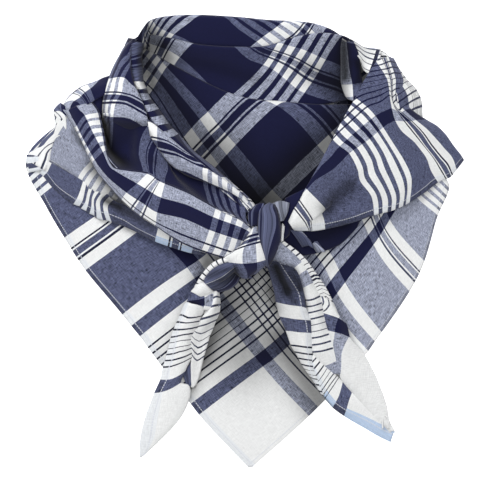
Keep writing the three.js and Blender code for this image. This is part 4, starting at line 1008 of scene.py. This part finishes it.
# Fine lines are beaten in closer, so their navy crosses white darker than in the wide stripes
FINE_LINES = [(100, 161), (271.8, 275), (287.3, 290.2), (485.8, 490.8)]
WHITE = "e9eaea"
NAVY = "151738"
SLATE = "535873"
SLATE_FINE = "22243a"
HEATHER = "969bad"
HEATHER_FINE = "404459"
BLUE_YARN = "a4c0e4"
SEWING_THREAD = "d3d6de"


def linear(hexcode):
    parts = [int(hexcode[i:i + 2], 16) / 255 for i in (0, 2, 4)]
    return [c / 12.92 if c <= 0.04045 else ((c + 0.055) / 1.055) ** 2.4 for c in parts] + [1.0]


cotton = bpy.data.materials.new("navy_white_check_cotton")
cotton.use_nodes = True
tree = cotton.node_tree
tree.nodes.clear()


# Adds a node, sets what is named, fills or links its inputs, and gives the output asked for
def add(kind, inputs=(), out=0, **settings):
    node = tree.nodes.new("ShaderNode" + kind)
    for name, value in settings.items():
        setattr(node, name, value)
    filled = inputs if isinstance(inputs, dict) else dict(enumerate(inputs))
    for key, value in filled.items():
        if isinstance(value, bpy.types.NodeSocket):
            tree.links.new(value, node.inputs[key])
        else:
            node.inputs[key].default_value = value
    return node.outputs[out] if node.outputs else node


# The middle and half width of a span, as a comparing node takes them
def span(first, last):
    return (first + last) / 2, (last - first) / 2


# The yarns along one direction of the square: navy share, distance from the nearer hem and place
def yarns(coordinate):
    place = add("Math", [coordinate, SIDE], operation="MULTIPLY")
    from_middle = add("Math", [place, SIDE / 2], operation="SUBTRACT")
    from_middle = add("Math", [from_middle], operation="ABSOLUTE")
    near = add("Math", [SIDE / 2, from_middle], operation="SUBTRACT")
    halves = []
    for first, last in ((0, RAMP_SPLIT), (RAMP_SPLIT, SIDE / 2)):
        past = add("Math", [near, first], operation="SUBTRACT")
        share = add("Math", [past, last - first], operation="DIVIDE", use_clamp=True)
        colours = add("ValToRGB", [share])
        ramp = colours.node.color_ramp
        ramp.interpolation = "CONSTANT"
        stops = [(first, [navy for start, navy in YARNS if start <= first][-1])]
        stops += [(start, navy) for start, navy in YARNS if first < start < last]
        ramp.elements[0].position = 0
        ramp.elements[0].color = [stops[0][1]] * 3 + [1]
        ramp.elements[1].position = 1
        ramp.elements[1].color = [stops[-1][1]] * 3 + [1]
        for start, navy in stops[1:]:
            element = ramp.elements.new((start - first) / (last - first))
            element.color = [navy] * 3 + [1]
        halves.append(colours)
    inner = add("Math", [near, RAMP_SPLIT], operation="GREATER_THAN")
    navy = add("Mix", {0: inner, 2: halves[0], 3: halves[1]}, data_type="FLOAT")
    return navy, near, place


apart = add("SeparateXYZ", [add("UVMap", uv_map="cloth")]).node
navy_a, near_a, place_a = yarns(apart.outputs[0])
navy_b, near_b, place_b = yarns(apart.outputs[1])
either = add("Math", [navy_a, navy_b], operation="MAXIMUM")

fine = []
for near in (near_a, near_b):
    lines = 0.0
    for first, last in FINE_LINES:
        line = add("Math", [near, *span(first, last)], operation="COMPARE")
        lines = add("Math", [lines, line], operation="MAXIMUM")
    fine.append(lines)
slate = add("Mix", {0: fine[0], 6: linear(SLATE), 7: linear(SLATE_FINE)}, out=2, data_type="RGBA")
heather = add("Mix", {0: fine[1], 6: linear(HEATHER), 7: linear(HEATHER_FINE)}, out=2, data_type="RGBA")
on_white = add("Mix", {0: navy_b, 6: linear(WHITE), 7: heather}, out=2, data_type="RGBA")
on_navy = add("Mix", {0: navy_b, 6: slate, 7: linear(NAVY)}, out=2, data_type="RGBA")
woven = add("Mix", {0: navy_a, 6: on_white, 7: on_navy}, out=2, data_type="RGBA")

# A pale blue yarn marks the selvedge, along both edges that run with a. It is strong on two
# stretches of the far edge, by the corner and at the middle, and hardly shows where it is worn.
BLUE_WORN = 0.1          # cover on both edges
BLUE_FAR = 0.08          # what the far edge has more
BLUE_STRONG = 0.56       # what its two stretches have more
at_selvedge = add("Math", [near_b, *span(-4, 7)], operation="COMPARE")
white_only = add("Math", [1.0, either], operation="SUBTRACT")
selvedge = add("Math", [at_selvedge, white_only], operation="MULTIPLY")
far_edge = add("Math", [apart.outputs[1], 0.5], operation="GREATER_THAN")
by_corner = add("Math", [place_a, *span(-5, 108)], operation="COMPARE")
at_middle = add("Math", [place_a, *span(440, 540)], operation="COMPARE")
stretch = add("Math", [by_corner, at_middle], operation="MAXIMUM")
far_blue = add("Math", [stretch, BLUE_STRONG, BLUE_FAR], operation="MULTIPLY_ADD")
blue = add("Math", [far_edge, far_blue, BLUE_WORN], operation="MULTIPLY_ADD")
blue = add("Math", [blue, selvedge], operation="MULTIPLY")
marked = add("Mix", {0: blue, 6: woven, 7: linear(BLUE_YARN)}, out=2, data_type="RGBA")

# Slubs, the thicker lengths of yarn: a long grain each way, stronger where navy crosses white
SLUB_PLAIN = 0.35        # change of shade where both yarns have one colour
SLUB_CROSSED = 2.3       # what is added where they differ
slubs = []
for per_a, per_b in ((SLUB_FINE, SLUB_LONG), (SLUB_LONG, SLUB_FINE)):
    grain_a = add("Math", [place_a, per_a], operation="MULTIPLY")
    grain_b = add("Math", [place_b, per_b], operation="MULTIPLY")
    grain = add("CombineXYZ", [grain_a, grain_b])
    slubs.append(add("TexNoise", {"Vector": grain, "Scale": 1.0, "Detail": 2.0}))
slub = add("Math", slubs, operation="ADD")
slub = add("Math", [slub, 1.0], operation="SUBTRACT")
crossed = add("Math", [navy_a, navy_b], operation="SUBTRACT")
crossed = add("Math", [crossed], operation="ABSOLUTE")
strength = add("Math", [crossed, SLUB_CROSSED, SLUB_PLAIN], operation="MULTIPLY_ADD")
gain = add("Math", [slub, strength, 1.0], operation="MULTIPLY_ADD")
mottled = add("VectorMath", {0: marked, "Scale": gain}, operation="SCALE")

# The hem is three layers thick, so it shows a shade deeper, least on white
HEM_DEEPER = -0.3        # change of shade on navy
ON_WHITE = 0.1           # share of it that white takes
ON_NAVY = 0.9            # what navy takes more than white
edge = add("Math", [near_a, near_b], operation="MINIMUM")
in_hem = add("Math", [edge, HEM], operation="LESS_THAN")
by_colour = add("Math", [either, ON_NAVY, ON_WHITE], operation="MULTIPLY_ADD")
in_hem = add("Math", [in_hem, by_colour], operation="MULTIPLY")
deeper = add("Math", [in_hem, HEM_DEEPER, 1.0], operation="MULTIPLY_ADD")
hemmed = add("VectorMath", {0: mottled, "Scale": deeper}, operation="SCALE")

# Its lockstitch in pale thread: a broken line along the inner edge of the hem
seams = []
for near, along in ((near_a, place_b), (near_b, place_a)):
    on_seam = add("Math", [near, HEM, SEWN_HALF], operation="COMPARE")
    stitches = add("Math", [along, STITCH], operation="DIVIDE")
    stitches = add("Math", [stitches], operation="FRACT")
    stitches = add("Math", [stitches, STITCH_SHARE], operation="LESS_THAN")
    seams.append(add("Math", [on_seam, stitches], operation="MULTIPLY"))
thread = add("Math", seams, operation="MAXIMUM")
thread = add("Math", [thread, THREAD_COVER], operation="MULTIPLY")
sewn = add("Mix", {0: thread, 6: hemmed, 7: linear(SEWING_THREAD)}, out=2, data_type="RGBA")
# Painted shade: the colour is darkened by the share of light kept between folds
kept = add("Attribute", out="Fac", attribute_name="painted_shade")
shaded = add("VectorMath", {0: sewn, "Scale": kept}, operation="SCALE")

# The weave's relief, over and under both ways
waves = []
for place in (place_a, place_b):
    wave = add("Math", [place, 2 * math.pi / WEAVE], operation="MULTIPLY")
    wave = add("Math", [wave], operation="SINE")
    waves.append(add("Math", [wave, 0.5], operation="MULTIPLY"))
relief = add("Math", waves, operation="ADD")
bump = add("Bump", {"Strength": 0.25, "Distance": 0.2 * MM, "Height": relief})
surface = add("BsdfPrincipled", {
    "Base Color": shaded, "Roughness": 0.92, "Specular IOR Level": 0.15, "Normal": bump,
    "Sheen Weight": 0.12, "Sheen Roughness": 0.5})
add("OutputMaterial", [surface])
data.materials.append(cotton)

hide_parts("kerchief")
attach(kerchief, "root")

# Backdrop: a wide sheet of white matt paper under the kerchief, lit from within a little so that
# it stays plain white to the edge of the picture.
floor_data = bpy.data.meshes.new("floor")
floor_data.from_pydata([(-3, -3, 0), (3, -3, 0), (3, 3, 0), (-3, 3, 0)], [], [(0, 1, 2, 3)])
floor = bpy.data.objects.new("floor", floor_data)
bpy.context.scene.collection.objects.link(floor)
paper = bpy.data.materials.new("white_paper_backdrop")
paper.use_nodes = True
sheet_of_paper = paper.node_tree.nodes["Principled BSDF"]
sheet_of_paper.inputs["Base Color"].default_value = linear("ffffff")
sheet_of_paper.inputs["Roughness"].default_value = 1.0
sheet_of_paper.inputs["Emission Color"].default_value = linear("ffffff")
sheet_of_paper.inputs["Emission Strength"].default_value = 0.8
floor_data.materials.append(paper)

# Even studio light: a white room, one softbox high on the left beyond the nape, and a larger one
# nearly straight overhead. They leave only soft shades in the folds.
scene = bpy.context.scene
scene.view_settings.view_transform = "Standard"
world = bpy.data.worlds.new("white_room")
world.use_nodes = True
background = world.node_tree.nodes["Background"]
background.inputs["Color"].default_value = linear("ffffff")
background.inputs["Strength"].default_value = 0.3
scene.world = world
SOFTBOXES = [
    # name, place, width and watts
    ("key_softbox", (-0.9, 1.1, 1.5), 0.8, 21),
    ("overhead_softbox", (0.1, 0.1, 2.0), 1.4, 21),
]
for name, place, width, watts in SOFTBOXES:
    lamp_data = bpy.data.lights.new(name, "AREA")
    lamp_data.size = width
    lamp_data.energy = watts
    lamp = bpy.data.objects.new(name, lamp_data)
    lamp.location = place
    lamp.rotation_euler = (-Vector(place)).to_track_quat("-Z", "Y").to_euler()
    scene.collection.objects.link(lamp)

# Camera: a long lens straight overhead, so the picture covers the chart's 500 by 500 mm and the
# heights of the folds hardly shift them.
lens = bpy.data.cameras.new("overhead_camera")
lens.sensor_width = 36
lens.lens = 288
camera = bpy.data.objects.new("overhead_camera", lens)
camera.location = ((250 - CHART_X) * MM, (CHART_Y - 250) * MM, 4.02)
scene.collection.objects.link(camera)
scene.camera = camera
